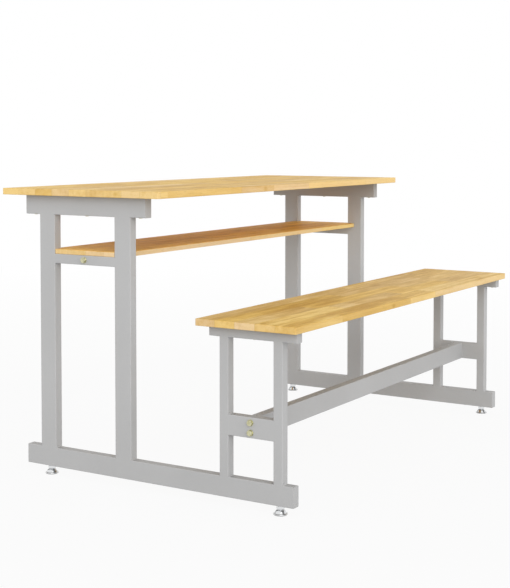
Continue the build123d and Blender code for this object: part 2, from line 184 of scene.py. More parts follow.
# Steps round a screw's core, a shank, a washer or round head, a hexagon, a foot and the floor
SCREW_STEPS, SHANK_STEPS, ROUND_STEPS, HEX_STEPS, FOOT_STEPS, FLOOR_STEPS = 28, 36, 48, 72, 96, 64

# Distance under which the corners of a copied solid are one point
WELD_DISTANCE = 1e-5
THIRTY_DEGREES = math.radians(30)
SIXTY_DEGREES = math.radians(60)

# Corners of a mesh stay sharp from this angle on
SHARP_CORNER = math.radians(32)

# Radius of the circle to which a hexagon's chamfer runs, as a share of its width across flats
CHAMFER_CIRCLE = 0.485


# Settings

def length(name, description, default):
    """Setting that is a length."""
    return FloatProperty(name=name, description=description, default=default, unit="LENGTH")


def angle(name, description, default):
    """Setting that is an angle."""
    return FloatProperty(name=name, description=description, default=default, subtype="ANGLE")


def share(name, description, default):
    """Setting between 0 and 1."""
    return FloatProperty(
        name=name, description=description, default=default, subtype="FACTOR", min=0.0, max=1.0)


def colour(name, description, default):
    """Setting that is a colour."""
    return FloatVectorProperty(name=name, description=description, default=default, size=3, subtype="COLOR")


class StageSettings(PropertyGroup):
    """Camera, light and floor."""
    eye: FloatVectorProperty(
        name="Eye", description="Where the camera stands", default=(-3.1317, -1.8449, 0.8803),
        size=3, subtype="TRANSLATION", unit="LENGTH")
    turn: angle("Turn", "How far the camera looks round from the desk side to the right", 1.020)
    tilt: angle("Tilt", "How far the camera looks down", math.radians(2.5))
    sky_level: FloatProperty(
        name="Sky level", description="Even light from all round, where 1 shows a colour as written",
        default=0.93, min=0.0)
    key_level: FloatProperty(
        name="Key level", description="Extra light on faces that look at the key lamp", default=0.62, min=0.0)
    key_direction: FloatVectorProperty(
        name="Key direction", description="Where the key lamp stands, seen from the desk",
        default=(-0.68, -0.70, 0.20), size=3, subtype="XYZ")
    key_spread: angle("Key spread", "How wide the key lamp looks from the desk", SIXTY_DEGREES)
    floor_radius: length("Floor radius", "Reach of the pale floor", 14.0)
    floor_colour: colour("Floor colour", "Colour of the floor", (0.50, 0.50, 0.50))
    floor_glow: share("Floor glow", "Share of white in the floor by the desk, as the camera sees it", 0.93)
    floor_near: length("Floor near", "Distance from the desk's middle up to which the floor glow holds", 1.2)
    floor_fade: length("Floor fade", "Distance at which the floor is plain white to the camera", 5.0)


class PaintSettings(PropertyGroup):
    """Grey powder coat of the steel tube."""
    colour: colour("Colour", "Colour of the powder coat", (0.470, 0.470, 0.470))
    # Corners take this paler grey: a thinner coat, and a painted highlight
    edge_colour: colour("Edge colour", "Colour where the coat is thin on a corner", (0.60, 0.60, 0.595))
    # These two settings paint shade: a dark grey in patches on faces that look up, which stands in for the
    # shade on top faces
    dust: share("Dust", "How much grime lies on faces that look up", 0.42)
    dust_colour: colour("Dust colour", "Colour of that grime", (0.25, 0.25, 0.25))
    roughness: share("Roughness", "How dull the coat is", 0.46)
    peel_size: length("Orange peel", "Spacing of the small waves in the coat", 0.0016)
    peel_depth: length("Peel depth", "Height of the small waves", 0.00009)


class WeldSettings(PropertyGroup):
    """Welds where the tubes meet, under the paint."""
    radius: length("Radius", "Half width of a bead", 0.0018)
    ripple: length("Ripple", "Distance between two ripples of a bead", 0.0024)
    ripple_depth: share("Ripple depth", "How much a ripple swells, as a share of the bead", 0.09)
    inset: length("Inset", "Distance from a bead's end to the tube's flush side", 0.0022)
    corner: length("Corner", "Radius of the tube's corners, which a weld ground flush fills up", 0.002)
    throat: length("Throat", "Depth of a flush weld, less than the tube's wall", 0.0014)


class WoodSettings(PropertyGroup):
    """Lacquered wood, glued up from finger-jointed staves."""
    pale: colour("Pale", "Sapwood streaks", (0.80, 0.56, 0.245))
    honey: colour("Honey", "Most of the wood", (0.67, 0.42, 0.130))
    brown: colour("Brown", "Heartwood streaks", (0.51, 0.28, 0.060))
    piece_length: length("Piece length", "Usual length between two finger joints", 0.42)
    finger_length: length("Finger length", "How far the fingers of a joint reach", 0.009)
    finger_pitch: length("Finger pitch", "Distance between two fingers", 0.0038)
    ring_spacing: length("Ring spacing", "Distance between two year rings", 0.0042)
    knot_size: length("Knot size", "Radius of the two large knots of each board", 0.009)
    # Painted light: the shelf's broad faces are brighter and redder, for the warm light bounced between it
    # and the desktop above, in whose shade it lies
    shelf_bounce_light: FloatVectorProperty(
        name="Shelf tint", description="What the shelf's wood is multiplied by, as it is redder",
        default=(1.40, 1.20, 0.66), size=3)
    # Part of this paleness is painted side light on the sawn edges
    edge_paleness: share("Edge paleness", "How much paler the sawn edges are", 0.60)


class FastenerSettings(PropertyGroup):
    """Bolts, nuts, washers and wood screws."""
    yellow: colour("Yellow zinc", "Passivated zinc of the bolts and screws", (0.66, 0.64, 0.44))
    yellow_patches: colour("Yellow patches", "Darker patches in it", (0.48, 0.46, 0.27))
    silver: colour("Plain zinc", "Bright zinc of the nuts", (0.66, 0.68, 0.70))
    silver_patches: colour("Plain patches", "Darker patches in it", (0.58, 0.60, 0.63))
    bolt_pitch: length("Bolt pitch", "Rise of one turn of the bolt's thread", 0.00125)
    thread_depth: length("Thread depth", "Crest to root of the bolt's thread", 0.00061)
    bolt_plain: length("Plain shank", "Smooth part of the shank under the head", 0.018)
    screw_pitch: length("Screw pitch", "Rise of one turn of the wood screw's thread", 0.0018)
    screw_thread: length("Screw thread", "Length of the wood screw's thread", 0.026)
    screw_head: length("Screw head", "Height of the wood screw's low head", 0.0018)
    screw_seat: length("Screw seat", "Height of the solid screw's head, under the tube it sits on", 0.0026)
    screw_head_radius: length("Screw head radius", "Radius of the wood screw's head", 0.0045)
    screw_radius: length("Screw radius", "Outside radius of the wood screw's thread", 0.00225)
    flats: length("Flats", "Width of the bolt's head and the nut across their flats", 0.013)
    bolt_head: length("Bolt head", "Height of the bolt's head", 0.0053)
    bolt_radius: length("Bolt radius", "Outside radius of the bolts and the foot studs", 0.004)
    turn_seed: IntProperty(name="Turn seed", description="Picks how far each fastener is turned", default=7)


class FootSettings(PropertyGroup):
    """Levelling feet."""
    chrome: colour("Chrome", "Colour of the chrome plate", (0.74, 0.75, 0.76))
    rubber: colour("Pad", "Colour of the plastic pad", (0.028, 0.028, 0.030))
    wall: length("Cup wall", "Thickness of the pressed cup", 0.0012)
    rim_height: length("Rim height", "Upright part of the cup's rim", 0.0025)
    shoulder: length("Shoulder", "Radius at which the lines of the cup's side and top would meet", 0.010)
    flange: length("Flange", "Width of the flat ring round the cup", 0.0026)
    dome: length("Dome", "Radius of the round between the cup's side and its top", 0.009)
    groove_depth: length("Groove depth", "Depth of the rings under the pad", 0.0005)
    rivet_radius: length("Rivet radius", "Radius of the stem's head inside the cup", 0.0065)
    rivet_height: length("Rivet height", "Height of the stem's head inside the cup", 0.0015)
    collar_flats: length("Collar flats", "Width of the stem's hexagon collar", 0.017)
    collar_bottom: length("Collar bottom", "Height of the collar's underside above the floor", 0.0133)
    collar_top: length("Collar top", "Height of the collar's upper side above the floor", 0.0217)


class DeskSettings(PropertyGroup):
    """All settings of the desk."""
    stage: PointerProperty(type=StageSettings)
    paint: PointerProperty(type=PaintSettings)
    welds: PointerProperty(type=WeldSettings)
    wood: PointerProperty(type=WoodSettings)
    fasteners: PointerProperty(type=FastenerSettings)
    feet: PointerProperty(type=FootSettings)


# Node trees

class Wire:
    """Output of a node. Plain arithmetic on it adds the nodes that work it out."""

    def __init__(self, socket):
        self.socket = socket

    def __add__(self, other):
        return calc("ADD", self, other)

    def __sub__(self, other):
        return calc("SUBTRACT", self, other)

    def __rsub__(self, other):
        return calc("SUBTRACT", other, self)

    def __mul__(self, other):
        return calc("MULTIPLY", self, other)

    def __truediv__(self, other):
        return calc("DIVIDE", self, other)

    def __rtruediv__(self, other):
        return calc("DIVIDE", other, self)


class Node:
    """New node of a tree. Its outputs are wires, found by name or number."""

    def __init__(self, tree, kind, inputs=(), **settings):
        node = tree.nodes.new(kind)
        for name, value in settings.items():
            setattr(node, name, value)
        for key, value in dict(inputs).items():
            connect(value, node.inputs[key])
        self.outputs = node.outputs

    def __getitem__(self, key):
        return Wire(self.outputs[key])

    def __iter__(self):
        return iter([Wire(socket) for socket in self.outputs])


def connect(value, socket):
    """Links a wire to an input, or sets the input to a plain value."""
    if isinstance(value, Wire):
        socket.id_data.links.new(value.socket, socket)
    elif socket.type == "RGBA":
        socket.default_value = (*value, 1.0)
    else:
        socket.default_value = value


def tree_of(*values):
    """Tree that the wires among some values belong to."""
    return next(value.socket.id_data for value in values if isinstance(value, Wire))


def calc(operation, *values):
    """Result of one arithmetic node."""
    return Node(tree_of(*values), "ShaderNodeMath", enumerate(values), operation=operation)[0]


def vector_calc(operation, *values, output="Vector"):
    """Result of one arithmetic node on vectors."""
    return Node(tree_of(*values), "ShaderNodeVectorMath", enumerate(values), operation=operation)[output]


def scaled(value, low, high, to_low=0.0, to_high=1.0):
    """Value moved from one range to another and kept inside it."""
    return Node(tree_of(value), "ShaderNodeMapRange", enumerate((value, low, high, to_low, to_high)))[0]


def between(amount, first, second):
    """Value on the way from one value to another."""
    return scaled(amount, *WHOLE_RANGE, first, second)


def blended(amount, first, second, mode="MIX"):
    """Colour between two colours."""
    tree = tree_of(amount, first, second)
    inputs = {0: amount, 6: first, 7: second}
    return Node(tree, "ShaderNodeMix", inputs, data_type="RGBA", blend_type=mode)[2]


def times_colour(first, second):
    """Colour that is the product of two."""
    return blended(1.0, first, second, "MULTIPLY")


def vector(*parts):
    """Vector from three values."""
    return Node(tree_of(*parts), "ShaderNodeCombineXYZ", enumerate(parts))[0]


def parts_of(point):
    """X, Y and Z of a vector."""
    return Node(tree_of(point), "ShaderNodeSeparateXYZ", {0: point})


def object_place(tree):
    """Place on the piece, in the desk's own axes."""
    return Node(tree, "ShaderNodeTexCoord")["Object"]


def surface_normal(tree):
    """Direction that the face looks in."""
    return Node(tree, "ShaderNodeNewGeometry")["Normal"]


def noise(point, scales, detail=2.0, roughness=0.5):
    """Noise with its own scale along each axis."""
    place = vector_calc("MULTIPLY", point, scales)
    inputs = {"Vector": place, "Scale": 1.0, "Detail": detail, "Roughness": roughness}
    return Node(tree_of(point), "ShaderNodeTexNoise", inputs)[0]


def patches(size, detail, roughness=0.5):
    """Noise on the piece in patches of about a given size."""
    tree = tree_of(size)
    inputs = {"Vector": object_place(tree), "Scale": 1.0 / size, "Detail": detail, "Roughness": roughness}
    return Node(tree, "ShaderNodeTexNoise", inputs)[0]


def new_group(name, kind, inputs, outputs):
    """Node group, with its inputs to read and its outputs to fill.

    An input is given as its default number, or as the word for its kind. An output is given as that word.
    """
    group = bpy.data.node_groups.new(name, kind)
    words = {int: "Int", float: "Float"}
    for label, given in inputs.items():
        word = words.get(type(given), given)
        socket = group.interface.new_socket(name=label, in_out="INPUT", socket_type=f"NodeSocket{word}")
        if type(given) in words:
            socket.default_value = given
    for label, word in outputs.items():
        group.interface.new_socket(name=label, in_out="OUTPUT", socket_type=f"NodeSocket{word}")
    return group, Node(group, "NodeGroupInput"), group.nodes.new("NodeGroupOutput").inputs


def fingers(across, pitch, reach):
    """How far a finger joint reaches along the stave, at a distance across it."""
    return calc("PINGPONG", across, pitch) / pitch * reach


# Effects that several finishes share

def worn_edges():
    """Mask of the sharp corners, broken up into patches."""
    group, given, end = new_group(
        "Worn edges", "ShaderNodeTree", {"Radius": 0.0015, "Patch Size": 0.02}, {"Mask": "Float"})
    rounded = Node(group, "ShaderNodeBevel", {"Radius": given["Radius"]}, samples=4)[0]
    likeness = vector_calc("DOT_PRODUCT", rounded, surface_normal(group), output="Value")
    flat, sharp = 0.995, 0.80
    corner = scaled(likeness, flat, sharp)
    connect(corner * scaled(patches(given["Patch Size"], detail=3.0), *HARD_RANGE), end["Mask"])
    return group


def dust_and_top_shade():
    """Mask of faces that look up, in patches: fine dust, and with its evenness raised, painted shade on top
    faces.
    """
    inputs = {"Amount": 0.1, "Patch Size": 0.12, "Evenness": 0.0}
    group, given, end = new_group("Dust and top shade", "ShaderNodeTree", inputs, {"Mask": "Float"})
    up = parts_of(surface_normal(group))[2]
    steep, level = 0.6, 1.0
    thin, thick = 0.35, 0.75
    drifts = scaled(patches(given["Patch Size"], detail=5.0), thin, thick)
    layer = calc("MAXIMUM", drifts, given["Evenness"])
    connect(scaled(up, steep, level) * layer * given["Amount"], end["Mask"])
    return group


def fine_surface():
    """Small even waves of a coat or a moulded skin, with a slow drift of tone."""
    group, given, end = new_group(
        "Fine surface", "ShaderNodeTree", {"Wave Size": 0.002, "Drift Size": 0.2},
        {"Height": "Float", "Drift": "Float"})
    connect(patches(given["Wave Size"], detail=2.0, roughness=0.55), end["Height"])
    connect(patches(given["Drift Size"], detail=3.0), end["Drift"])
    return group


def from_knot(place, knot):
    """Distance from a knot, which is drawn out along the grain."""
    along_grain = 0.6
    squeezed = vector_calc("MULTIPLY", vector_calc("SUBTRACT", place, knot), (along_grain, 1.0, 1.0))
    return vector_calc("LENGTH", squeezed, output="Value")


def stave_wood():
    """Solid wood glued up from staves along X, each a row of finger-jointed pieces with its own year rings.

    Every piece has a pith line somewhere near it. The rings lie round that line, so a face shows long
    grain and a sawn end shows arcs.
    """
    group, given, end = new_group(
        "Stave wood", "ShaderNodeTree", {
            "Edge": 0.0, "Stave Width": 0.055, "Piece Length": 0.42, "Middle Height": 0.0,
            "Finger Length": 0.009, "Finger Pitch": 0.0038, "Ring Spacing": 0.0042, "Stave Tone": 0.5,
            "Seed": 1.0, "Edge Paleness": 0.4, "First Knot": "Vector", "Second Knot": "Vector",
            "Knot Size": 0.008, "Pale": "Color", "Honey": "Color", "Brown": "Color"},
        {"Color": "Color", "Pores": "Float", "Height": "Float", "Sawn": "Float"})
    width, seed = given["Stave Width"], given["Seed"]

    # A point just under the surface, so that no face lies on the line between two staves
    normal = surface_normal(group)
    under_face = -0.0008
    place = vector_calc("ADD", object_place(group), vector_calc("MULTIPLY", normal, (under_face,) * 3))
    x, y, z = parts_of(place)

    # Which stave, and how far across it
    across = y - given["Edge"]
    in_staves = across / width
    stave = calc("FLOOR", in_staves)
    luck = Node(group, "ShaderNodeTexWhiteNoise", {0: vector(stave, seed, 0.0)})["Value"]

    # Which piece of the stave: the joints are zigzags on the face and straight on the edge
    reach = fingers(across, given["Finger Pitch"], given["Finger Length"])
    shortest, longest, most_pieces = 0.75, 1.35, 17.0
    piece_length = given["Piece Length"] * between(luck, shortest, longest)
    in_pieces = (x + reach) / piece_length + luck * most_pieces
    piece_key = vector(stave, calc("FLOOR", in_pieces), seed)
    chances = Node(group, "ShaderNodeTexWhiteNoise", {0: piece_key})["Color"]
    tone, pith_side, pith_depth = Node(group, "ShaderNodeSeparateColor", {0: chances})

    # Year rings round the piece's pith line, which wanders along the piece and swirls round the knots
    pith_across, pith_up, most_wander, most_swirl, swirl_reach = 0.05, 0.085, 0.030, 0.016, 4.5
    own_place = vector_calc("ADD", place, vector_calc("MULTIPLY", piece_key, PIECE_SHIFT))
    pith_y = (stave + 0.5) * width + between(pith_side, -pith_across, pith_across)
    pith_z = given["Middle Height"] + between(pith_depth, -pith_up, pith_up)
    squares = calc("POWER", across - pith_y, 2.0) + calc("POWER", z - pith_z, 2.0)
    wander = between(noise(own_place, *WANDER), -most_wander, most_wander)
    to_knots = [from_knot(place, given[name]) for name in ("First Knot", "Second Knot")]
    in_knots = calc("MINIMUM", *to_knots) / given["Knot Size"]
    swirl = calc("POWER", scaled(in_knots, swirl_reach, 0.0), 2.0) * most_swirl
    distance = calc("SQRT", squares) + (wander + swirl)

    # In each ring the wood darkens slowly and turns pale again at its very end
    slowness, turn = 2.2, 0.90
    ring = calc("FRACT", distance / given["Ring Spacing"])
    late_wood = calc("POWER", ring, slowness) * scaled(ring, 1.0, turn)

    # Fibres, pores and soft clouds along the grain, and flames that lean across it
    lean = 1.6
    few_pores, all_pores = 0.60, 0.70
    fibres, clouds = noise(own_place, *FIBRES), noise(own_place, *CLOUDS)
    leaning = vector(x + across * lean, across, z)
    flame = noise(vector_calc("ADD", leaning, piece_key), *FLAME)
    pores = scaled(noise(own_place, *FLECKS), few_pores, all_pores)

    # Small knots where a sparse cell falls near the face, and the two large ones
    small_rim, small_core, large_rim, large_core = 0.20, 0.03, 0.9, 0.3
    rare, rarest = 0.86, 0.92
    knot_place = vector_calc("MULTIPLY", own_place, KNOT_CELLS)
    cells = Node(group, "ShaderNodeTexVoronoi", {"Vector": knot_place, "Scale": 1.0})
    rarity = Node(group, "ShaderNodeSeparateColor", {0: cells["Color"]})[0]
    small_knot = scaled(cells["Distance"], small_rim, small_core) * scaled(rarity, rare, rarest)
    knot = calc("MAXIMUM", small_knot, scaled(in_knots, large_rim, large_core))

    # Darkness of the figure: each reading's range, and how much it darkens or lightens the wood at most
    readings = (
        (tone, WHOLE_RANGE, 0.08), (clouds, GENTLE_RANGE, 0.20),
        (noise(own_place, *STREAKS), SOFT_RANGE, 0.22), (noise(own_place, *MOTTLE), SOFT_RANGE, 0.20),
        (fibres, GENTLE_RANGE, 0.12))
    shades = [scaled(reading, *limits, -most, most) for reading, limits, most in readings]
    ring_shade, knot_shade, flame_light = 0.22, 0.60, 0.40
    dark = sum(shades[1:], shades[0]) + late_wood * ring_shade

    # Pale flames show only in the palest staves
    pale_tone, palest_tone, flame_low, flame_high = 0.34, 0.30, 0.46, 0.62
    in_pale_stave = scaled(given["Stave Tone"], pale_tone, palest_tone)
    dark = dark - in_pale_stave * scaled(flame, flame_low, flame_high, 0.0, flame_light)
    dark = dark + knot * knot_shade

    # A sawn edge is paler, partly its own colour and partly painted side light, with more difference between
    # its staves and less figure
    flat, upright = 0.7, 0.2
    face_figure, edge_figure, edge_contrast = 1.25, 0.55, 1.8
    sawn = scaled(calc("ABSOLUTE", parts_of(normal)[2]), flat, upright)
    figure = dark * between(sawn, face_figure, edge_figure)
    base = given["Stave Tone"] * between(sawn, 1.0, edge_contrast)
    dark = base + figure - sawn * given["Edge Paleness"]

    # From 0, pale, over honey to 1, brown
    honey_dark = 0.5
    wood = blended(scaled(dark, 0.0, honey_dark), given["Pale"], given["Honey"])
    wood = blended(scaled(dark, honey_dark, 1.0), wood, given["Brown"])

    # The hue goes from golden to pinkish, by piece and along the grain
    golden, pinkish = (1.02, 1.04, 0.80), (0.96, 1.01, 1.13)
    by_piece, by_grain = 0.6, 0.4
    warmth = pith_side * by_piece + clouds * by_grain
    wood = times_colour(wood, blended(scaled(warmth, *GENTLE_RANGE), golden, pinkish))

    # Pores and glue lines darken it a little, and a sawn edge is less yellow and brighter with painted side
    # light
    line_edge, line_core = 0.00045, 0.00010
    line_shade, pore_shade, edge_side_light, edge_blue = 0.30, 0.16, 1.04, 1.17
    stave_line = calc("PINGPONG", calc("FRACT", in_staves), 0.5) * width
    piece_line = calc("PINGPONG", calc("FRACT", in_pieces), 0.5) * piece_length
    line = scaled(calc("MINIMUM", stave_line, piece_line), line_edge, line_core)
    shade = 1.0 - calc("MAXIMUM", line * line_shade, pores * pore_shade)
    shade = shade * between(sawn, 1.0, edge_side_light)
    blue = shade * between(sawn, 1.0, edge_blue)
    connect(times_colour(wood, vector(shade, shade, blue)), end["Color"])
    connect(pores, end["Pores"])

    # Height of the surface: fibres stand up, pores and glue lines lie low
    fibre_height, pore_depth, line_depth = 0.35, 0.6, 0.4
    connect(fibres * fibre_height - (pores * pore_depth + line * line_depth), end["Height"])
    connect(sawn, end["Sawn"])
    return group


EFFECTS = {
    "Worn edges": worn_edges, "Dust and top shade": dust_and_top_shade,
    "Fine surface": fine_surface, "Stave wood": stave_wood}


def effect(tree, name, values):
    """Outputs of a shared effect in a tree. Its group is built when it is first asked for."""
    group = bpy.data.node_groups.get(name) or EFFECTS[name]()
    return Node(tree, "ShaderNodeGroup", values, node_tree=group)


# Finishes

def new_material(name):
    """Material with its node tree and the inputs of its main shader."""
    material = bpy.data.materials.new(name)
    material.use_nodes = True
    return material, material.node_tree, material.node_tree.nodes["Principled BSDF"].inputs


def shared_material(name, maker, *values):
    """Material of that name, made when it is first asked for."""
    return bpy.data.materials.get(name) or maker(name, *values)


def cover(node, material):
    """Gives a node of the frame its finish."""
    for place in frame["nodes"][node].material_slots:
        place.material = material


def uneven(drift, value, below, above):
    """Value that a drift takes a little below and above itself."""
    return scaled(drift, *SOFT_RANGE, value - below, value + above)


def bump(shader, height, depth):
    """Gives a shader small hills of a real depth."""
    inputs = {"Height": height, "Strength": 1.0, "Distance": depth}
    connect(Node(tree_of(height), "ShaderNodeBump", inputs)["Normal"], shader["Normal"])


def powder_coat(name, settings):
    """Satin grey powder coat: soft orange peel, a slow drift of tone, paler corners from a thinner coat and a
    painted highlight, and painted shade in dark patches on faces that look up.
    """
    material, tree, shader = new_material(name)
    surface = effect(tree, "Fine surface", {"Wave Size": settings.peel_size, "Drift Size": 0.30})
    corners = effect(tree, "Worn edges", {"Radius": 0.0015, "Patch Size": 0.05})["Mask"]
    # Faces that look up take a dark grey in even patches: painted shade on the top faces, with the look of
    # dust
    dust = effect(tree, "Dust and top shade", {"Amount": settings.dust, "Evenness": 0.75})["Mask"]
    drift_shade, edge_wear, dust_dulls = 0.94, 0.55, 0.2
    darkest_speckle, palest_speckle = 0.955, 1.03
    darker = [drift_shade * part for part in settings.colour]
    paint = blended(scaled(surface["Drift"], *FIRM_RANGE), settings.colour, darker)
    speckle = scaled(surface["Height"], *SOFT_RANGE, darkest_speckle, palest_speckle)
    paint = times_colour(paint, vector(speckle, speckle, speckle))
    # Paler corners: a thinner coat, and a painted highlight
    paint = blended(corners * edge_wear, paint, settings.edge_colour)
    connect(blended(dust, paint, settings.dust_colour), shader["Base Color"])
    rough = uneven(surface["Drift"], settings.roughness, below=0.04, above=0.05)
    connect(rough + dust * dust_dulls, shader["Roughness"])
    connect(0.35, shader["Specular IOR Level"])
    bump(shader, surface["Height"], depth=settings.peel_depth)
    return material


def grey_coat(settings):
    """Powder coat that all the tube shares."""
    return shared_material("grey powder coat", powder_coat, settings)


def tone_ramp(across, tones):
    """One tone for each step of a share of the way across the board."""
    node = tree_of(across).nodes.new("ShaderNodeValToRGB")
    connect(across, node.inputs[0])
    ramp = node.color_ramp
    ramp.interpolation = "CONSTANT"
    while len(ramp.elements) < len(tones):
        ramp.elements.new(1.0)
    for index, tone in enumerate(tones):
        ramp.elements[index].position = index / len(tones)
        ramp.elements[index].color = (tone, tone, tone, 1.0)
    return Wire(node.outputs["Color"])


def lacquered_wood(name, node, tint, settings):
    """Clear satin lacquer over the staves of one board."""
    material, tree, shader = new_material(name)
    low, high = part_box(node)
    board = BOARDS[node]
    count = len(board["tones"])
    x, y, _ = parts_of(object_place(tree))
    reach = fingers(y - low.y, settings.finger_pitch, settings.finger_length)
    along = scaled(x + reach, low.x, high.x)
    across = scaled(y, low.y, high.y)
    tone = tone_ramp(across, board["tones"])
    for stave, start, end, own_tone in board["pieces"]:
        in_stave = calc("COMPARE", across, (stave + 0.5) / count, 0.5 / count)
        in_piece = calc("COMPARE", along, (start + end) / 2, (end - start) / 2)
        tone = blended(in_stave * in_piece, tone, (own_tone,) * 3)
    first, second = (low + Vector(knot) * (high - low) for knot in board["knots"])
    wood = effect(tree, "Stave wood", {
        "Edge": low.y, "Stave Width": (high.y - low.y) / count, "Piece Length": settings.piece_length,
        "Middle Height": middle_of((low, high)).z, "Finger Length": settings.finger_length,
        "Finger Pitch": settings.finger_pitch, "Ring Spacing": settings.ring_spacing,
        "Stave Tone": tone, "Seed": board["seed"], "Edge Paleness": settings.edge_paleness,
        "First Knot": first, "Second Knot": second, "Knot Size": settings.knot_size,
        "Pale": settings.pale, "Honey": settings.honey, "Brown": settings.brown})
    dust = effect(tree, "Dust and top shade", {"Amount": 0.05})["Mask"]
    # On the shelf the broad faces take that painted warm bounce light; the sawn edges keep the plain wood
    colour_of_wood = blended(wood["Sawn"], times_colour(wood["Color"], tint), wood["Color"])
    connect(blended(dust, colour_of_wood, WOOD_DUST), shader["Base Color"])
    lacquer_roughness, pore_roughness = 0.50, 0.62
    connect(between(wood["Pores"], lacquer_roughness, pore_roughness) + dust, shader["Roughness"])
    connect(0.10, shader["Specular IOR Level"])
    bump(shader, wood["Height"], depth=0.00005)
    return material


def zinc(name, plate, darker, roughness):
    """Zinc plate whose tint drifts, with brighter rubbed corners and fine pits."""
    material, tree, shader = new_material(name)
    surface = effect(tree, "Fine surface", {"Wave Size": 0.0006, "Drift Size": 0.006})
    corners = effect(tree, "Worn edges", {"Radius": 0.0004, "Patch Size": 0.003})["Mask"]
    edge_wear = 0.5
    tint = blended(scaled(surface["Drift"], *FIRM_RANGE), plate, darker)
    connect(blended(corners * edge_wear, tint, RUBBED_ZINC), shader["Base Color"])
    connect(uneven(surface["Drift"], roughness, below=0.06, above=0.08), shader["Roughness"])
    connect(1.0, shader["Metallic"])
    bump(shader, surface["Height"], depth=0.00002)
    return material


def yellow_zinc(settings):
    """Yellow passivated zinc with darker, greener patches."""
    return shared_material("yellow zinc", zinc, settings.yellow, settings.yellow_patches, 0.30)


def plain_zinc(settings):
    """Bright zinc with a bluish cast."""
    return shared_material("plain zinc", zinc, settings.silver, settings.silver_patches, 0.30)


def chrome_plate(name, settings):
    """Chrome with faint smudges, dust on top, and a darker grey in the fold of the rim and towards the floor:
    dirt, and painted shade.
    """
    material, tree, shader = new_material(name)
    surface = effect(tree, "Fine surface", {"Wave Size": 0.004, "Drift Size": 0.012})
    dust = effect(tree, "Dust and top shade", {"Amount": 0.10, "Patch Size": 0.01})["Mask"]
    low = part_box(f"{FEET[0]}_cup")[0].z
    fold = low + settings.rim_height
    # Darker grey in the fold of the rim and towards the bottom: dirt, and painted shade in the crease and by
    # the floor
    seam, fold_dark_full, fold_dark_end, bottom_dark_start, bottom_dark_full = 0.0001, 0.0003, 0.0014, 0.0006, 0.0005
    z = parts_of(object_place(tree))[2]
    in_fold = calc("GREATER_THAN", z, fold + seam) * scaled(z, fold + fold_dark_end, fold + fold_dark_full)
    by_floor = scaled(z, fold - bottom_dark_start, low + bottom_dark_full)
    least, most = 0.45, 0.80
    grime_and_shade = calc("MAXIMUM", in_fold, by_floor) * scaled(surface["Drift"], *FIRM_RANGE, least, most)
    plate = blended(dust, settings.chrome, CHROME_DUST)
    connect(blended(grime_and_shade, plate, GRIME_AND_SHADE), shader["Base Color"])
    clean, greasy = 0.40, 0.75
    polished, smudged, grime_and_shade_dulls = 0.08, 0.19, 0.3
    rough = scaled(surface["Drift"], clean, greasy, polished, smudged)
    connect(rough + between(grime_and_shade, 0.0, grime_and_shade_dulls) + dust, shader["Roughness"])
    connect(1.0, shader["Metallic"])
    bump(shader, surface["Height"], depth=0.000012)
    return material


def moulded_plastic(name, settings):
    """Matt moulded plastic with a spark-eroded grain and scuffed corners."""
    material, tree, shader = new_material(name)
    surface = effect(tree, "Fine surface", {"Wave Size": 0.0004, "Drift Size": 0.01})
    corners = effect(tree, "Worn edges", {"Radius": 0.0005, "Patch Size": 0.004})["Mask"]
    brightest, edge_wear, smoothest, roughest = 1.7, 0.6, 0.48, 0.66
    lighter = [brightest * part for part in settings.rubber]
    plastic = blended(scaled(surface["Drift"], *SOFT_RANGE), settings.rubber, lighter)
    connect(blended(corners * edge_wear, plastic, SCUFFED_PLASTIC), shader["Base Color"])
    connect(scaled(surface["Height"], *SOFT_RANGE, smoothest, roughest), shader["Roughness"])
    bump(shader, surface["Height"], depth=0.00004)
    return material


def seen_directly(tree):
    """1 in what the camera sees, also in reflections and through glass, and 0 in what lights the desk."""
    path = Node(tree, "ShaderNodeLightPath")
    seen = calc("MAXIMUM", path["Is Camera Ray"], path["Is Glossy Ray"])
    return calc("MAXIMUM", seen, path["Is Transmission Ray"])


def pale_floor(settings):
    """Floor that shows nearly white to the camera and still takes a soft shadow."""
    material, tree, shader = new_material("pale floor")
    connect(settings.floor_colour, shader["Base Color"])
    connect(0.9, shader["Roughness"])
    connect(0.0, shader["Specular IOR Level"])
    glow = Node(tree, "ShaderNodeEmission", {"Color": WHITE, "Strength": 1.0})[0]
    far = vector_calc("LENGTH", object_place(tree), output="Value")
    white = scaled(far, settings.floor_near, settings.floor_fade, settings.floor_glow, 1.0)
    plain = Wire(tree.nodes["Principled BSDF"].outputs[0])
    mixed = Node(tree, "ShaderNodeMixShader", {0: seen_directly(tree) * white, 1: plain, 2: glow})[0]
    connect(mixed, tree.nodes["Material Output"].inputs["Surface"])
    return material


# Meshes

def solids_of(node):
    """Lowest and highest corner of each separate solid in a node of the frame."""
    shape = bmesh.new()
    shape.from_mesh(frame["nodes"][node].data)
    bmesh.ops.remove_doubles(shape, verts=shape.verts, dist=WELD_DISTANCE)
    waiting = set(shape.verts)
    boxes = []
    while waiting:
        growing = [waiting.pop()]
        places = []
        while growing:
            point = growing.pop()
            places.append(point.co.copy())
            near = {edge.other_vert(point) for edge in point.link_edges} & waiting
            waiting -= near
            growing.extend(near)
        low = Vector(min(place[axis] for place in places) for axis in range(3))
        high = Vector(max(place[axis] for place in places) for axis in range(3))
        boxes.append((low, high))
    shape.free()
    return sorted(boxes, key=lambda box: tuple(box[0]))


def middle_of(box):
    """Middle of a box between two corners."""
    return (box[0] + box[1]) / 2


def face_along_x(box, sign):
    """Middle of a box's face that looks along X, forwards for 1 and backwards for -1."""
    low, high = box
    middle = middle_of(box)
    return Vector((high.x if sign > 0 else low.x, middle.y, middle.z))


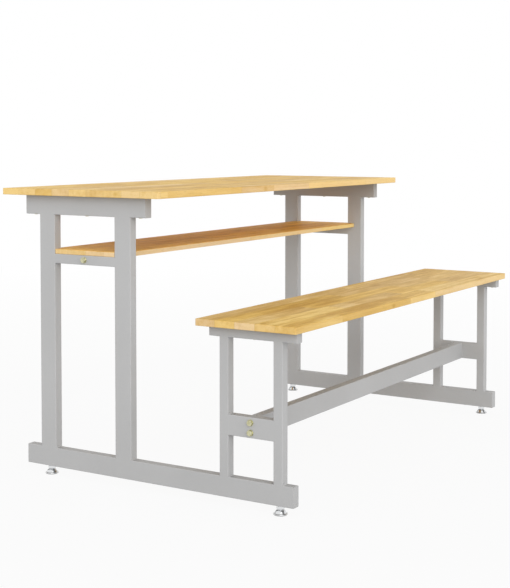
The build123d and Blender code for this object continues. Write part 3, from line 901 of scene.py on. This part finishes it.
def arc(centre_radius, centre_height, radius, start, end, steps=5):
    """Points of a profile on a round corner, from one angle in degrees to another."""
    points = []
    for step in range(steps + 1):
        way = math.radians(start + (end - start) * step / steps)
        points.append((centre_radius + radius * math.cos(way), centre_height + radius * math.sin(way)))
    return points


def hex_reach(flats):
    """Distance from the middle of a hexagon to its side, for any angle."""
    return lambda way: flats / 2 / math.cos(way % SIXTY_DEGREES - THIRTY_DEGREES)


def hex_chamfer(flats, level, inward):
    """Height of a hexagon's end where a 30 degree cone cuts it: highest at the middle of each side."""
    circle = CHAMFER_CIRCLE * flats
    reach = hex_reach(flats)
    return lambda way: level + inward * (reach(way) - circle) * math.tan(THIRTY_DEGREES)


def hex_profile(flats, bottom, top):
    """Profile of a hexagon bar with both ends chamfered."""
    circle = CHAMFER_CIRCLE * flats
    reach = hex_reach(flats)
    return [
        (circle, bottom), (reach, hex_chamfer(flats, bottom, 1)),
        (reach, hex_chamfer(flats, top, -1)), (circle, top)]


def turned(shape, profile, steps, ring_shaped=False):
    """Skin round the Z axis. A profile's radius or height is a number or a function of the angle."""
    rings = []
    for radius, height in profile:
        ring = []
        for step in range(steps):
            way = math.tau * step / steps
            reach = radius(way) if callable(radius) else radius
            level = height(way) if callable(height) else height
            ring.append(shape.verts.new((reach * math.cos(way), reach * math.sin(way), level)))
        rings.append(ring)
    pairs = list(zip(rings, rings[1:]))
    if ring_shaped:
        pairs.append((rings[-1], rings[0]))
    for lower, upper in pairs:
        for index in range(steps):
            after = (index + 1) % steps
            shape.faces.new((lower[index], lower[after], upper[after], upper[index]))
    if not ring_shaped:
        shape.faces.new(list(reversed(rings[0])))
        shape.faces.new(rings[-1])


def turned_mesh(name, profile, steps, ring_shaped=False):
    """Mesh of one skin round the Z axis."""
    shape = bmesh.new()
    turned(shape, profile, steps, ring_shaped)
    return mesh_from(shape, name)


def add_mesh(shape, mesh, height=0.0):
    """Adds a ready mesh to a shape, raised to a height."""
    extra = mesh.copy()
    extra.transform(Matrix.Translation((0, 0, height)))
    shape.from_mesh(extra)
    bpy.data.meshes.remove(extra)


def mesh_from(shape, name):
    """Mesh of a shape, with its faces outwards."""
    bmesh.ops.recalc_face_normals(shape, faces=shape.faces)
    mesh = bpy.data.meshes.new(name)
    shape.to_mesh(mesh)
    shape.free()
    return mesh


def linked_object(name, data):
    """New object in the scene, with its mesh, lamp or camera."""
    made = bpy.data.objects.new(name, data)
    bpy.context.scene.collection.objects.link(made)
    return made


def add_piece(name, mesh, material, slot, body):
    """Puts a finished mesh in the scene on a body, shaded smooth between its sharp corners."""
    mesh.materials.clear()
    mesh.materials.append(material)
    mesh.polygons.foreach_set("use_smooth", [True] * len(mesh.polygons))
    mesh.set_sharp_from_angle(angle=SHARP_CORNER)
    piece = linked_object(name, mesh)
    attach(piece, body)
    return piece


def replace_node(name, mesh, material, slot, node):
    """Puts a finished mesh in the scene in place of a node, on the same body."""
    piece = add_piece(name, mesh, material, slot, frame["nodes"][node]["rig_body"])
    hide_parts(node)


# Geometry node trees

def thread_tree():
    """Right-hand screw thread: a trapezium swept along a spiral, round a plain core."""
    tree, given, end = new_group("Screw thread", "GeometryNodeTree", {
        "Major Radius": 0.004, "Minor Radius": 0.0034, "Pitch": 0.00125, "Length": 0.02, "Steps": 24,
        "Finish": "Material"}, {"Geometry": "Geometry"})
    pitch, reach, root = given["Pitch"], given["Length"], given["Minor Radius"]
    depth = given["Major Radius"] - root
    turns = reach / pitch
    middle = root + depth * 0.5
    spiral = Node(tree, "GeometryNodeCurveSpiral", {
        "Resolution": given["Steps"], "Rotations": turns, "Start Radius": middle, "End Radius": middle,
        "Height": reach, "Reverse": True})[0]
    upright = Node(tree, "GeometryNodeSetCurveNormal", {0: spiral}, mode="Z_UP")[0]

    # The ridge starts a little inside the core, with its foot and crest as shares of the pitch
    sunk, foot, crest = 1.06, 0.86, 0.14
    profile = Node(tree, "GeometryNodeCurvePrimitiveQuadrilateral", {
        "Height": depth * sunk, "Bottom Width": pitch * foot, "Top Width": pitch * crest, "Offset": 0.0},
        mode="TRAPEZOID")[0]

    # It grows from a quarter of its size at both ends
    run_out, smallest = 0.6, 0.25
    along = Node(tree, "GeometryNodeSplineParameter")["Factor"]
    from_end = calc("PINGPONG", along, 0.5) * turns
    ridge = Node(tree, "GeometryNodeCurveToMesh", {
        "Curve": upright, "Profile Curve": profile, "Scale": scaled(from_end, 0.0, run_out, smallest, 1.0),
        "Fill Caps": True})[0]
    core = Node(tree, "GeometryNodeMeshCylinder", {
        "Vertices": given["Steps"], "Radius": root, "Depth": reach})["Mesh"]
    raised = Node(tree, "GeometryNodeTransform", {0: core, "Translation": vector(0.0, 0.0, reach * 0.5)})[0]
    joined = tree.nodes.new("GeometryNodeJoinGeometry")
    connect(raised, joined.inputs[0])
    connect(ridge, joined.inputs[0])
    finish_tree(Wire(joined.outputs[0]), given["Finish"], end)
    return tree


def bead_tree():
    """Weld bead along every edge of a mesh: a swept round that swells and shrinks in ripples."""
    tree, given, end = new_group("Weld bead", "GeometryNodeTree", {
        "Lines": "Geometry", "Radius": 0.0018, "Ripple": 0.0024, "Ripple Depth": 0.09,
        "Finish": "Material"}, {"Geometry": "Geometry"})
    steps_in_ripple, steps_round, drift_scale = 5.0, 12, (120.0, 120.0, 120.0)
    thin, thick, run_out, thinnest = 0.85, 1.12, 0.07, 0.45
    lines = Node(tree, "GeometryNodeMeshToCurve", {"Mesh": given["Lines"]})[0]
    fine = Node(tree, "GeometryNodeResampleCurve", {
        "Curve": lines, "Length": given["Ripple"] / steps_in_ripple}, mode="LENGTH")[0]
    along = Node(tree, "GeometryNodeSplineParameter")
    wave = calc("SINE", along["Length"] / given["Ripple"] * math.tau) * given["Ripple Depth"]
    place = Node(tree, "GeometryNodeInputPosition")[0]
    drift = scaled(noise(place, drift_scale), *SOFT_RANGE, thin, thick)
    ends = scaled(calc("PINGPONG", along["Factor"], 0.5), 0.0, run_out, thinnest, 1.0)
    round_profile = Node(tree, "GeometryNodeCurvePrimitiveCircle", {
        "Resolution": steps_round, "Radius": given["Radius"]})[0]
    bead = Node(tree, "GeometryNodeCurveToMesh", {
        "Curve": fine, "Profile Curve": round_profile, "Scale": (wave + 1.0) * drift * ends,
        "Fill Caps": True})[0]
    finish_tree(bead, given["Finish"], end)
    return tree


def repeat_tree():
    """Same fastener on every point, facing the point's own outward direction and turned by chance."""
    tree, given, end = new_group("Repeated fastener", "GeometryNodeTree", {
        "Places": "Geometry", "Fastener": "Object", "Turn Seed": 0, "Finish": "Material"},
        {"Geometry": "Geometry"})
    outward = Node(tree, "GeometryNodeInputNamedAttribute", {"Name": "outward"}, data_type="FLOAT_VECTOR")[0]
    facing = Node(tree, "FunctionNodeAlignRotationToVector", {"Vector": outward}, axis="Z")[0]
    master = Node(tree, "GeometryNodeObjectInfo", {"Object": given["Fastener"]})["Geometry"]
    copies = Node(tree, "GeometryNodeInstanceOnPoints", {
        "Points": given["Places"], "Instance": master, "Rotation": facing})[0]
    chance = Node(tree, "FunctionNodeRandomValue", {"Seed": given["Turn Seed"]}, data_type="FLOAT")["Value"]
    turn = Node(tree, "FunctionNodeEulerToRotation", {0: vector(0.0, 0.0, chance * SIXTY_DEGREES)})[0]
    turned_copies = Node(tree, "GeometryNodeRotateInstances", {
        "Instances": copies, "Rotation": turn, "Local Space": True})[0]
    finish_tree(turned_copies, given["Finish"], end)
    return tree


def finish_tree(geometry, material, end):
    """Last two nodes of a geometry tree: plain geometry with its material."""
    tree = tree_of(geometry)
    plain = Node(tree, "GeometryNodeRealizeInstances", {0: geometry})[0]
    connect(Node(tree, "GeometryNodeSetMaterial", {0: plain, "Material": material})[0], end[0])


TREES = {"Screw thread": thread_tree, "Weld bead": bead_tree, "Repeated fastener": repeat_tree}


def evaluated_mesh(holder):
    """Plain mesh of an object with its modifiers applied. The object is removed."""
    graph = bpy.context.evaluated_depsgraph_get()
    made = bpy.data.meshes.new_from_object(holder.evaluated_get(graph), depsgraph=graph)
    holder.modifiers.clear()
    bpy.data.objects.remove(holder)
    return made


def run_tree(name, values, mesh=None):
    """Plain mesh that a geometry tree makes from its named inputs."""
    tree = bpy.data.node_groups.get(name) or TREES[name]()
    holder = linked_object("holder", mesh or bpy.data.meshes.new("holder"))
    modifier = holder.modifiers.new("shape", "NODES")
    modifier.node_group = tree
    for item in tree.interface.items_tree:
        if item.item_type == "SOCKET" and item.in_out == "INPUT" and item.name in values:
            modifier[item.identifier] = values[item.name]
    return evaluated_mesh(holder)


def thread(major, depth, pitch, reach, material):
    """Mesh of a threaded rod that stands on the XY plane."""
    return run_tree("Screw thread", {
        "Major Radius": major, "Minor Radius": major - depth, "Pitch": pitch, "Length": reach,
        "Finish": material})


def repeated(master, places, outward, seed, material):
    """One mesh with a copy of the master at each place."""
    points = bpy.data.meshes.new("places")
    points.from_pydata([tuple(place) for place in places], [], [])
    facing = points.attributes.new("outward", "FLOAT_VECTOR", "POINT")
    facing.data.foreach_set("vector", list(outward) * len(places))
    source = linked_object("master", master)
    made = run_tree("Repeated fastener", {"Fastener": source, "Turn Seed": seed, "Finish": material}, points)
    bpy.data.objects.remove(source)
    return made


# Fasteners

def bolt_mesh(settings, grip, material):
    """Hexagon bolt whose head stands above the XY plane and whose shank hangs below it."""
    shape = bmesh.new()
    flats, head, radius = settings.flats, settings.bolt_head, settings.bolt_radius
    washer_face, face_radius = 0.0002, 0.46 * flats
    dish, dish_radius = 0.00005, 0.40 * flats
    taper, overlap = 0.001, 0.0001
    reach = hex_reach(flats)
    turned(shape, [
        (face_radius, 0.0), (face_radius, washer_face), (reach, washer_face),
        (reach, hex_chamfer(flats, head, -1)), (CHAMFER_CIRCLE * flats, head), (dish_radius, head - dish)],
        HEX_STEPS)
    plain = settings.bolt_plain
    turned(shape, [
        (radius - settings.thread_depth, -plain - taper), (radius, -plain), (radius, overlap)], SHANK_STEPS)
    ridge = thread(radius, settings.thread_depth, settings.bolt_pitch, grip - plain, material)
    add_mesh(shape, ridge, -grip)
    return mesh_from(shape, "bolt master")


def nut_mesh(flats, height, bore):
    """Hexagon nut on the XY plane, chamfered on both sides, with a countersunk bore."""
    sink = 0.0004
    inside = [(bore + sink, height), (bore, height - sink), (bore, sink), (bore + sink, 0.0)]
    return turned_mesh("nut master", hex_profile(flats, 0.0, height) + inside, HEX_STEPS, ring_shaped=True)


def washer_mesh(radius, thickness, bore):
    """Flat washer on the XY plane with its outer edge rounded by the press."""
    edge = 0.0004
    outline = [(bore, thickness), (bore, 0.0), (radius - edge / 2, 0.0), (radius, edge / 2)]
    outline += arc(radius - edge, thickness - edge, edge, 0, 90)
    return turned_mesh("washer master", outline, ROUND_STEPS, ring_shaped=True)


def cross_recess(reach, depth):
    """Tapered cross to cut into a screw's head, point down from the XY plane."""
    shape = bmesh.new()
    arm, above, taper = 0.00055, 0.0003, 0.45
    for long_axis in (0, 1):
        corners = []
        for level, size in ((above, 1.0), (-depth, taper)):
            half = [arm, arm]
            half[long_axis] = reach * size
            for x_sign, y_sign in ((-1, -1), (1, -1), (1, 1), (-1, 1)):
                corners.append(shape.verts.new((x_sign * half[0], y_sign * half[1], level)))
        top, low = corners[:4], corners[4:]
        shape.faces.new(top)
        shape.faces.new(list(reversed(low)))
        for index in range(4):
            after = (index + 1) % 4
            shape.faces.new((low[index], low[after], top[after], top[index]))
    return mesh_from(shape, "recess")


def screw_mesh(settings, reach, material):
    """Pan-head wood screw, head on top of the XY plane and point down, with a cross recess."""
    head, head_radius, radius = settings.screw_head, settings.screw_head_radius, settings.screw_radius
    most_threaded = 0.8 * reach
    threaded = min(settings.screw_thread, most_threaded)
    edge, flat_radius = head * 0.45, head_radius * 0.35
    profile = [(head_radius, 0.0), (head_radius, head - edge)]
    profile += arc(head_radius - edge, head - edge, edge, 20, 90)
    profile.append((flat_radius, head))
    recess_reach, recess_depth = head_radius * 0.52, head * 0.62
    recess = cross_recess(recess_reach, recess_depth)
    recess.transform(Matrix.Translation((0, 0, head)))
    shape = bmesh.new()
    shape.from_mesh(cut_away(turned_mesh("dome", profile, ROUND_STEPS), recess))
    point, core, shank = radius * 1.8, radius * 0.72, radius * 0.85
    tip, taper, overlap = 0.0002, 0.001, 0.0001
    turned(shape, [
        (tip, -reach), (core, -reach + point), (core, -threaded),
        (shank, -threaded + taper), (shank, overlap)], SCREW_STEPS)
    ridge = thread(radius, radius - core, settings.screw_pitch, threaded - point, material)
    add_mesh(shape, ridge, -reach + point)
    return mesh_from(shape, "screw master")


def cut_away(mesh, cutter):
    """Mesh with another mesh cut out of it."""
    body, tool = linked_object("body", mesh), linked_object("tool", cutter)
    modifier = body.modifiers.new("cut", "BOOLEAN")
    modifier.object = tool
    modifier.operation = "DIFFERENCE"
    modifier.solver = "EXACT"
    modifier.use_self = True
    done = evaluated_mesh(body)
    bpy.data.objects.remove(tool)
    return done


# Operators

class DESK_OT_set_stage(Operator):
    """Makes the floor, the light and the camera"""
    bl_idname = "desk.set_stage"
    bl_label = "Set the stage"

    def execute(self, context):
        """Builds the stage from its settings."""
        settings = context.scene.desk.stage
        scene = context.scene
        scene.view_settings.view_transform = "Standard"
        self.add_floor(settings)
        self.add_sky(scene, settings)
        self.add_key(settings)
        self.add_camera(scene, settings)
        return {"FINISHED"}

    def add_floor(self, settings):
        """Wide round floor under the desk."""
        shape = bmesh.new()
        bmesh.ops.create_circle(
            shape, cap_ends=True, segments=FLOOR_STEPS, radius=settings.floor_radius)
        floor = linked_object("floor", mesh_from(shape, "floor"))
        floor.data.materials.append(pale_floor(settings))
        floor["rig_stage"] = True

    def add_sky(self, scene, settings):
        """Even light all round, plain white to the camera and in reflections."""
        world = bpy.data.worlds.new("studio")
        world.use_nodes = True
        scene.world = world
        background = world.node_tree.nodes["Background"].inputs
        connect(WHITE, background["Color"])
        connect(between(seen_directly(world.node_tree), settings.sky_level, 1.0), background["Strength"])

    def add_key(self, settings):
        """Soft lamp from the bench side of the left end."""
        lamp = bpy.data.lights.new("key", "SUN")
        lamp.energy = settings.key_level * math.pi
        lamp.angle = settings.key_spread
        key = linked_object("key", lamp)
        key.rotation_euler = Vector(settings.key_direction).to_track_quat("Z", "Y").to_euler()

    def add_camera(self, scene, settings):
        """Camera at the photograph's viewpoint, shifted so that upright edges stay nearly parallel."""
        camera = bpy.data.cameras.new("camera")
        tall = max(PHOTO_WIDTH, PHOTO_HEIGHT)
        camera.lens = FOCAL_PIXELS * camera.sensor_width / tall
        camera.shift_y = (AIM_ROW - PHOTO_HEIGHT / 2) / tall
        camera.clip_end = 4 * settings.floor_radius
        view = linked_object("camera", camera)
        view.location = settings.eye
        view.rotation_euler = (math.pi / 2 - settings.tilt, 0.0, -settings.turn)
        scene.camera = view


class DESK_OT_paint_frame(Operator):
    """Gives the steel tube its powder coat"""
    bl_idname = "desk.paint_frame"
    bl_label = "Paint the frame"

    def execute(self, context):
        """Paints the tubes, caps, brackets and plates."""
        coat = grey_coat(context.scene.desk.paint)
        for name in ["stretcher"] + [f"{side}_{piece}" for side in SIDES for piece in PAINTED_PIECES]:
            cover(name, coat)
        return {"FINISHED"}


class DESK_OT_weld_frame(Operator):
    """Lays weld beads in the corners where the tubes meet, and fills their joints where they are flush"""
    bl_idname = "desk.weld_frame"
    bl_label = "Weld the frame"

    def execute(self, context):
        """Welds both end frames."""
        settings = context.scene.desk.welds
        coat = grey_coat(context.scene.desk.paint)
        for side in SIDES:
            ends = []
            for tube in (*LEGS, "bench_cross_rail"):
                ends += self.corners(f"{side}_{tube}", settings.inset, (0, 1))
            ends += self.corners(f"{side}_shelf_rail", settings.inset, (0,))
            lines = bpy.data.meshes.new("weld lines")
            lines.from_pydata(ends, [(index, index + 1) for index in range(0, len(ends), 2)], [])
            beads = run_tree("Weld bead", {
                "Radius": settings.radius, "Ripple": settings.ripple, "Ripple Depth": settings.ripple_depth,
                "Finish": coat}, lines)
            add_piece(f"{side}_weld_beads", beads, coat, "grey_powder_coat", FIXED_BODY)
            flush = self.flush_welds(side, settings)
            add_piece(f"{side}_flush_welds", flush, coat, "grey_powder_coat", FIXED_BODY)
        return {"FINISHED"}

    def corners(self, node, inset, heights):
        """Both ends of each weld line across a tube. In heights, 0 is its bottom and 1 its top."""
        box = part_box(node)
        points = []
        for height in heights:
            for y in (box[0].y, box[1].y):
                for x in (box[0].x + inset, box[1].x - inset):
                    points.append((x, y, box[height].z))
        return points

    def flush_welds(self, side, settings):
        """Welds that fill the grooves at rounded corners where tubes are flush, ground level with them."""
        shape = bmesh.new()
        corner = settings.corner
        past_corner = 2.5 * corner
        y_axis, z_axis = 1, 2
        tubes = [(leg, z_axis, y_axis) for leg in LEGS]
        tubes += [(rail, y_axis, z_axis) for rail in RAILS_BETWEEN_LEGS]
        for tube, along, aside in tubes:
            low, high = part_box(f"{side}_{tube}")
            for end, way in ((low[along], -1), (high[along], 1)):
                start, stop = low.copy(), high.copy()
                start[aside] += corner
                stop[aside] -= corner
                start[along], stop[along] = sorted((end - way * corner, end + way * past_corner))
                self.add_flush_weld(shape, start, stop, settings.throat)
        return mesh_from(shape, "flush welds")

    def add_flush_weld(self, shape, low, high, throat):
        """Adds the same weld at both flush sides, a hair under them."""
        hair = 0.00002
        for left, right in ((low.x + hair, low.x + throat), (high.x - throat, high.x - hair)):
            box = Vector((left, low.y, low.z)), Vector((right, high.y, high.z))
            matrix = Matrix.LocRotScale(middle_of(box), None, box[1] - box[0])
            bmesh.ops.create_cube(shape, size=1.0, matrix=matrix)


class DESK_OT_finish_boards(Operator):
    """Gives the three boards their lacquered wood"""
    bl_idname = "desk.finish_boards"
    bl_label = "Finish the boards"

    def execute(self, context):
        """Gives each board its own staves."""
        settings = context.scene.desk.wood
        for board in BOARDS:
            # Only the shelf takes painted warm bounce light
            tint = settings.shelf_bounce_light if board == "shelf" else WHITE
            cover(board, lacquered_wood(f"{board} wood", board, tint, settings))
        return {"FINISHED"}


class DESK_OT_fit_bolts(Operator):
    """Fits the bolts, washers and nuts through the end frames"""
    bl_idname = "desk.fit_bolts"
    bl_label = "Fit the bolts"

    def execute(self, context):
        """Fits both end frames."""
        settings = context.scene.desk.fasteners
        yellow = yellow_zinc(settings)
        silver = plain_zinc(settings)
        for side, sign in SIDES.items():
            self.fit_side(side, sign, settings, yellow, silver)
        return {"FINISHED"}

    def fit_side(self, side, sign, settings, yellow, silver):
        """Fits the bolts, washers and nuts of one end frame."""
        seed = settings.turn_seed + (sign > 0)
        nut_seed = seed + 2
        outward = (sign, 0.0, 0.0)
        play = 0.0005
        washers, nuts = solids_of(f"{side}_washers"), solids_of(f"{side}_nuts")
        size = washers[0][1] - washers[0][0]
        master = washer_mesh(size.z / 2, size.x, settings.bolt_radius + play)
        mesh = repeated(master, [face_along_x(box, -sign) for box in washers], outward, seed, yellow)
        replace_node(f"{side}_flat_washers", mesh, yellow, "yellow_zinc", f"{side}_washers")

        size = nuts[0][1] - nuts[0][0]
        master = nut_mesh(settings.flats, size.x, settings.bolt_radius)
        mesh = repeated(master, [face_along_x(box, -sign) for box in nuts], outward, nut_seed, silver)
        replace_node(f"{side}_hex_nuts", mesh, silver, "plain_zinc", f"{side}_nuts")

        whole = bmesh.new()
        for low, high in solids_of(f"{side}_bolts"):
            master = bolt_mesh(settings, high.x - low.x - settings.bolt_head, yellow)
            place = face_along_x((low, high), sign) - Vector(outward) * settings.bolt_head
            seed += 1
            add_mesh(whole, repeated(master, [place], outward, seed, yellow))
        replace_node(f"{side}_hex_bolts", mesh_from(whole, "bolts"), yellow, "yellow_zinc", f"{side}_bolts")


class DESK_OT_fit_wood_screws(Operator):
    """Fits the wood screws that hold the three boards from below"""
    bl_idname = "desk.fit_wood_screws"
    bl_label = "Fit the wood screws"

    def execute(self, context):
        """Fits the screws of every board on both sides."""
        settings = context.scene.desk.fasteners
        yellow = yellow_zinc(settings)
        downward = (0.0, 0.0, -1.0)
        for side in SIDES:
            for number, board in enumerate(BOARDS):
                node = f"{side}_{board}_screws"
                boxes = solids_of(node)
                reach = boxes[0][1].z - boxes[0][0].z - settings.screw_seat
                places = []
                for box in boxes:
                    middle = middle_of(box)
                    places.append(Vector((middle.x, middle.y, box[0].z + settings.screw_seat)))
                master = screw_mesh(settings, reach, yellow)
                mesh = repeated(master, places, downward, settings.turn_seed + number, yellow)
                replace_node(f"{side}_{board}_pan_screws", mesh, yellow, "yellow_zinc", node)
        return {"FINISHED"}


class DESK_OT_fit_feet(Operator):
    """Fits the four levelling feet: pad, chrome cup and threaded stem"""
    bl_idname = "desk.fit_feet"
    bl_label = "Fit the levelling feet"

    def execute(self, context):
        """Fits each foot, and plates the nuts inside the runners."""
        settings = context.scene.desk.feet
        fasteners = context.scene.desk.fasteners
        chrome = shared_material("foot chrome", chrome_plate, settings)
        plastic = shared_material("foot plastic", moulded_plastic, settings)
        for foot in FEET:
            cup = self.cup(settings, fasteners.bolt_radius, *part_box(f"{foot}_cup"))
            replace_node(f"{foot}_pressed_cup", cup, chrome, "foot_chrome", f"{foot}_cup")
            pad = self.pad(settings, *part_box(f"{foot}_pad"))
            replace_node(f"{foot}_ringed_pad", pad, plastic, "foot_plastic", f"{foot}_pad")
            stem = self.stem(settings, fasteners, *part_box(f"{foot}_stem"), chrome)
            replace_node(f"{foot}_threaded_stem", stem, chrome, "foot_chrome", f"{foot}_stem")
        for side in SIDES:
            cover(f"{side}_foot_nuts", plain_zinc(fasteners))
        return {"FINISHED"}

    def cup(self, settings, stud, low, high):
        """Pressed cup with a rolled rim, a flat flange, a steep side, a domed top and a hole for the stem."""
        radius, top = (high.x - low.x) / 2, high.z - low.z
        wall, rim = settings.wall, settings.rim_height
        foot, shoulder, dome = radius - settings.flange, settings.shoulder, settings.dome
        roll, fold, lip, play, break_edge = 0.0008, 0.0010, 0.0005, 0.0001, 0.0002
        slope = math.atan2(top - rim, foot - shoulder)
        degrees = math.degrees(slope)
        dome_middle = shoulder - dome * math.tan(slope / 2)
        profile = [(radius - wall, lip), (radius - wall, 0.0)]
        profile += arc(radius - roll, roll, roll, -90, 0)
        profile += arc(radius - roll, rim - roll, roll, 0, 90)
        profile += arc(foot + fold * math.tan(slope / 2), rim + fold, fold, 270, 270 - degrees)
        profile += arc(dome_middle, top - dome, dome, 90 - degrees, 90, 8)
        profile += [(stud + break_edge, top), (stud + play, top - break_edge), (stud + play, top - wall)]
        profile += arc(dome_middle, top - dome, dome - wall, 90, 90 - degrees, 8)
        profile += [(foot - wall, rim - roll), (radius - wall, rim - roll)]
        return self.placed(turned_mesh("cup", profile, FOOT_STEPS, ring_shaped=True), low, high)

    def pad(self, settings, low, high):
        """Disc with a rounded edge and rings cut into its underside."""
        radius, tall = (high.x - low.x) / 2, high.z - low.z
        depth = settings.groove_depth
        edge, hollow = 0.0006, 0.0014
        rings, first_ring, ring_pitch, ring_width, ring_slope = 3, 0.0032, 0.0040, 0.0022, 0.0003
        profile = [(hollow, depth)]
        for ring in range(rings):
            inner = first_ring + ring * ring_pitch
            profile += [
                (inner - ring_slope, depth), (inner, 0.0), (inner + ring_width, 0.0),
                (inner + ring_width + ring_slope, depth)]
        profile += arc(radius - edge, edge, edge, -90, 0) + [(radius, tall)]
        return self.placed(turned_mesh("pad", profile, FOOT_STEPS), low, high)

    def stem(self, settings, fasteners, low, high, chrome):
        """Stud with its rivet head, its hexagon collar and its thread."""
        stud, rivet, radius = fasteners.bolt_radius, settings.rivet_height, settings.rivet_radius
        collar_low, collar_top = settings.collar_bottom - low.z, settings.collar_top - low.z
        edge, underside, neck, overlap = 0.0005, 0.0004, stud - 0.0002, 0.0002
        head = [(radius - underside, 0.0)]
        head += arc(radius - edge, rivet - edge, edge, 0, 90)
        head.append((neck, rivet))
        shape = bmesh.new()
        turned(shape, head, ROUND_STEPS)
        turned(shape, hex_profile(settings.collar_flats, collar_low, collar_top), HEX_STEPS)
        turned(shape, [(neck, rivet - overlap), (neck, collar_low + overlap)], SHANK_STEPS)
        reach = high.z - low.z - collar_top
        ridge = thread(stud, fasteners.thread_depth, fasteners.bolt_pitch, reach, chrome)
        add_mesh(shape, ridge, collar_top)
        return self.placed(mesh_from(shape, "stem"), low, high)

    def placed(self, mesh, low, high):
        """Mesh moved from the origin to where its node stands."""
        middle = middle_of((low, high))
        mesh.transform(Matrix.Translation((middle.x, middle.y, low.z)))
        return mesh


OPERATORS = (
    DESK_OT_set_stage, DESK_OT_paint_frame, DESK_OT_weld_frame, DESK_OT_finish_boards,
    DESK_OT_fit_bolts, DESK_OT_fit_wood_screws, DESK_OT_fit_feet)


class DESK_PT_panel(Panel):
    """Lists the steps that dress the desk"""
    bl_idname = "DESK_PT_panel"
    bl_label = "School desk"
    bl_space_type = "VIEW_3D"
    bl_region_type = "UI"
    bl_category = "Desk"

    def draw(self, context):
        """Draws one button for each step, in their order."""
        for operator in OPERATORS:
            self.layout.operator(operator.bl_idname)


CLASSES = (
    StageSettings, PaintSettings, WeldSettings, WoodSettings, FastenerSettings, FootSettings, DeskSettings,
    *OPERATORS, DESK_PT_panel)


def register():
    """Adds the settings, the operators and the panel to Blender."""
    for kind in CLASSES:
        bpy.utils.register_class(kind)
    bpy.types.Scene.desk = PointerProperty(type=DeskSettings)


def unregister():
    """Takes them out again."""
    del bpy.types.Scene.desk
    for kind in reversed(CLASSES):
        bpy.utils.unregister_class(kind)


def main():
    """Dresses the desk and works out how large it was and is."""
    register()
    bpy.ops.desk.set_stage()
    bpy.ops.desk.paint_frame()
    bpy.ops.desk.weld_frame()
    bpy.ops.desk.finish_boards()
    bpy.ops.desk.fit_bolts()
    bpy.ops.desk.fit_wood_screws()
    bpy.ops.desk.fit_feet()
    boxes = {"solid": solid_box, "visual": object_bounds()}
    sizes = {name: [list(corner) for corner in box] for name, box in boxes.items()}


if __name__ == "__main__":
    main()
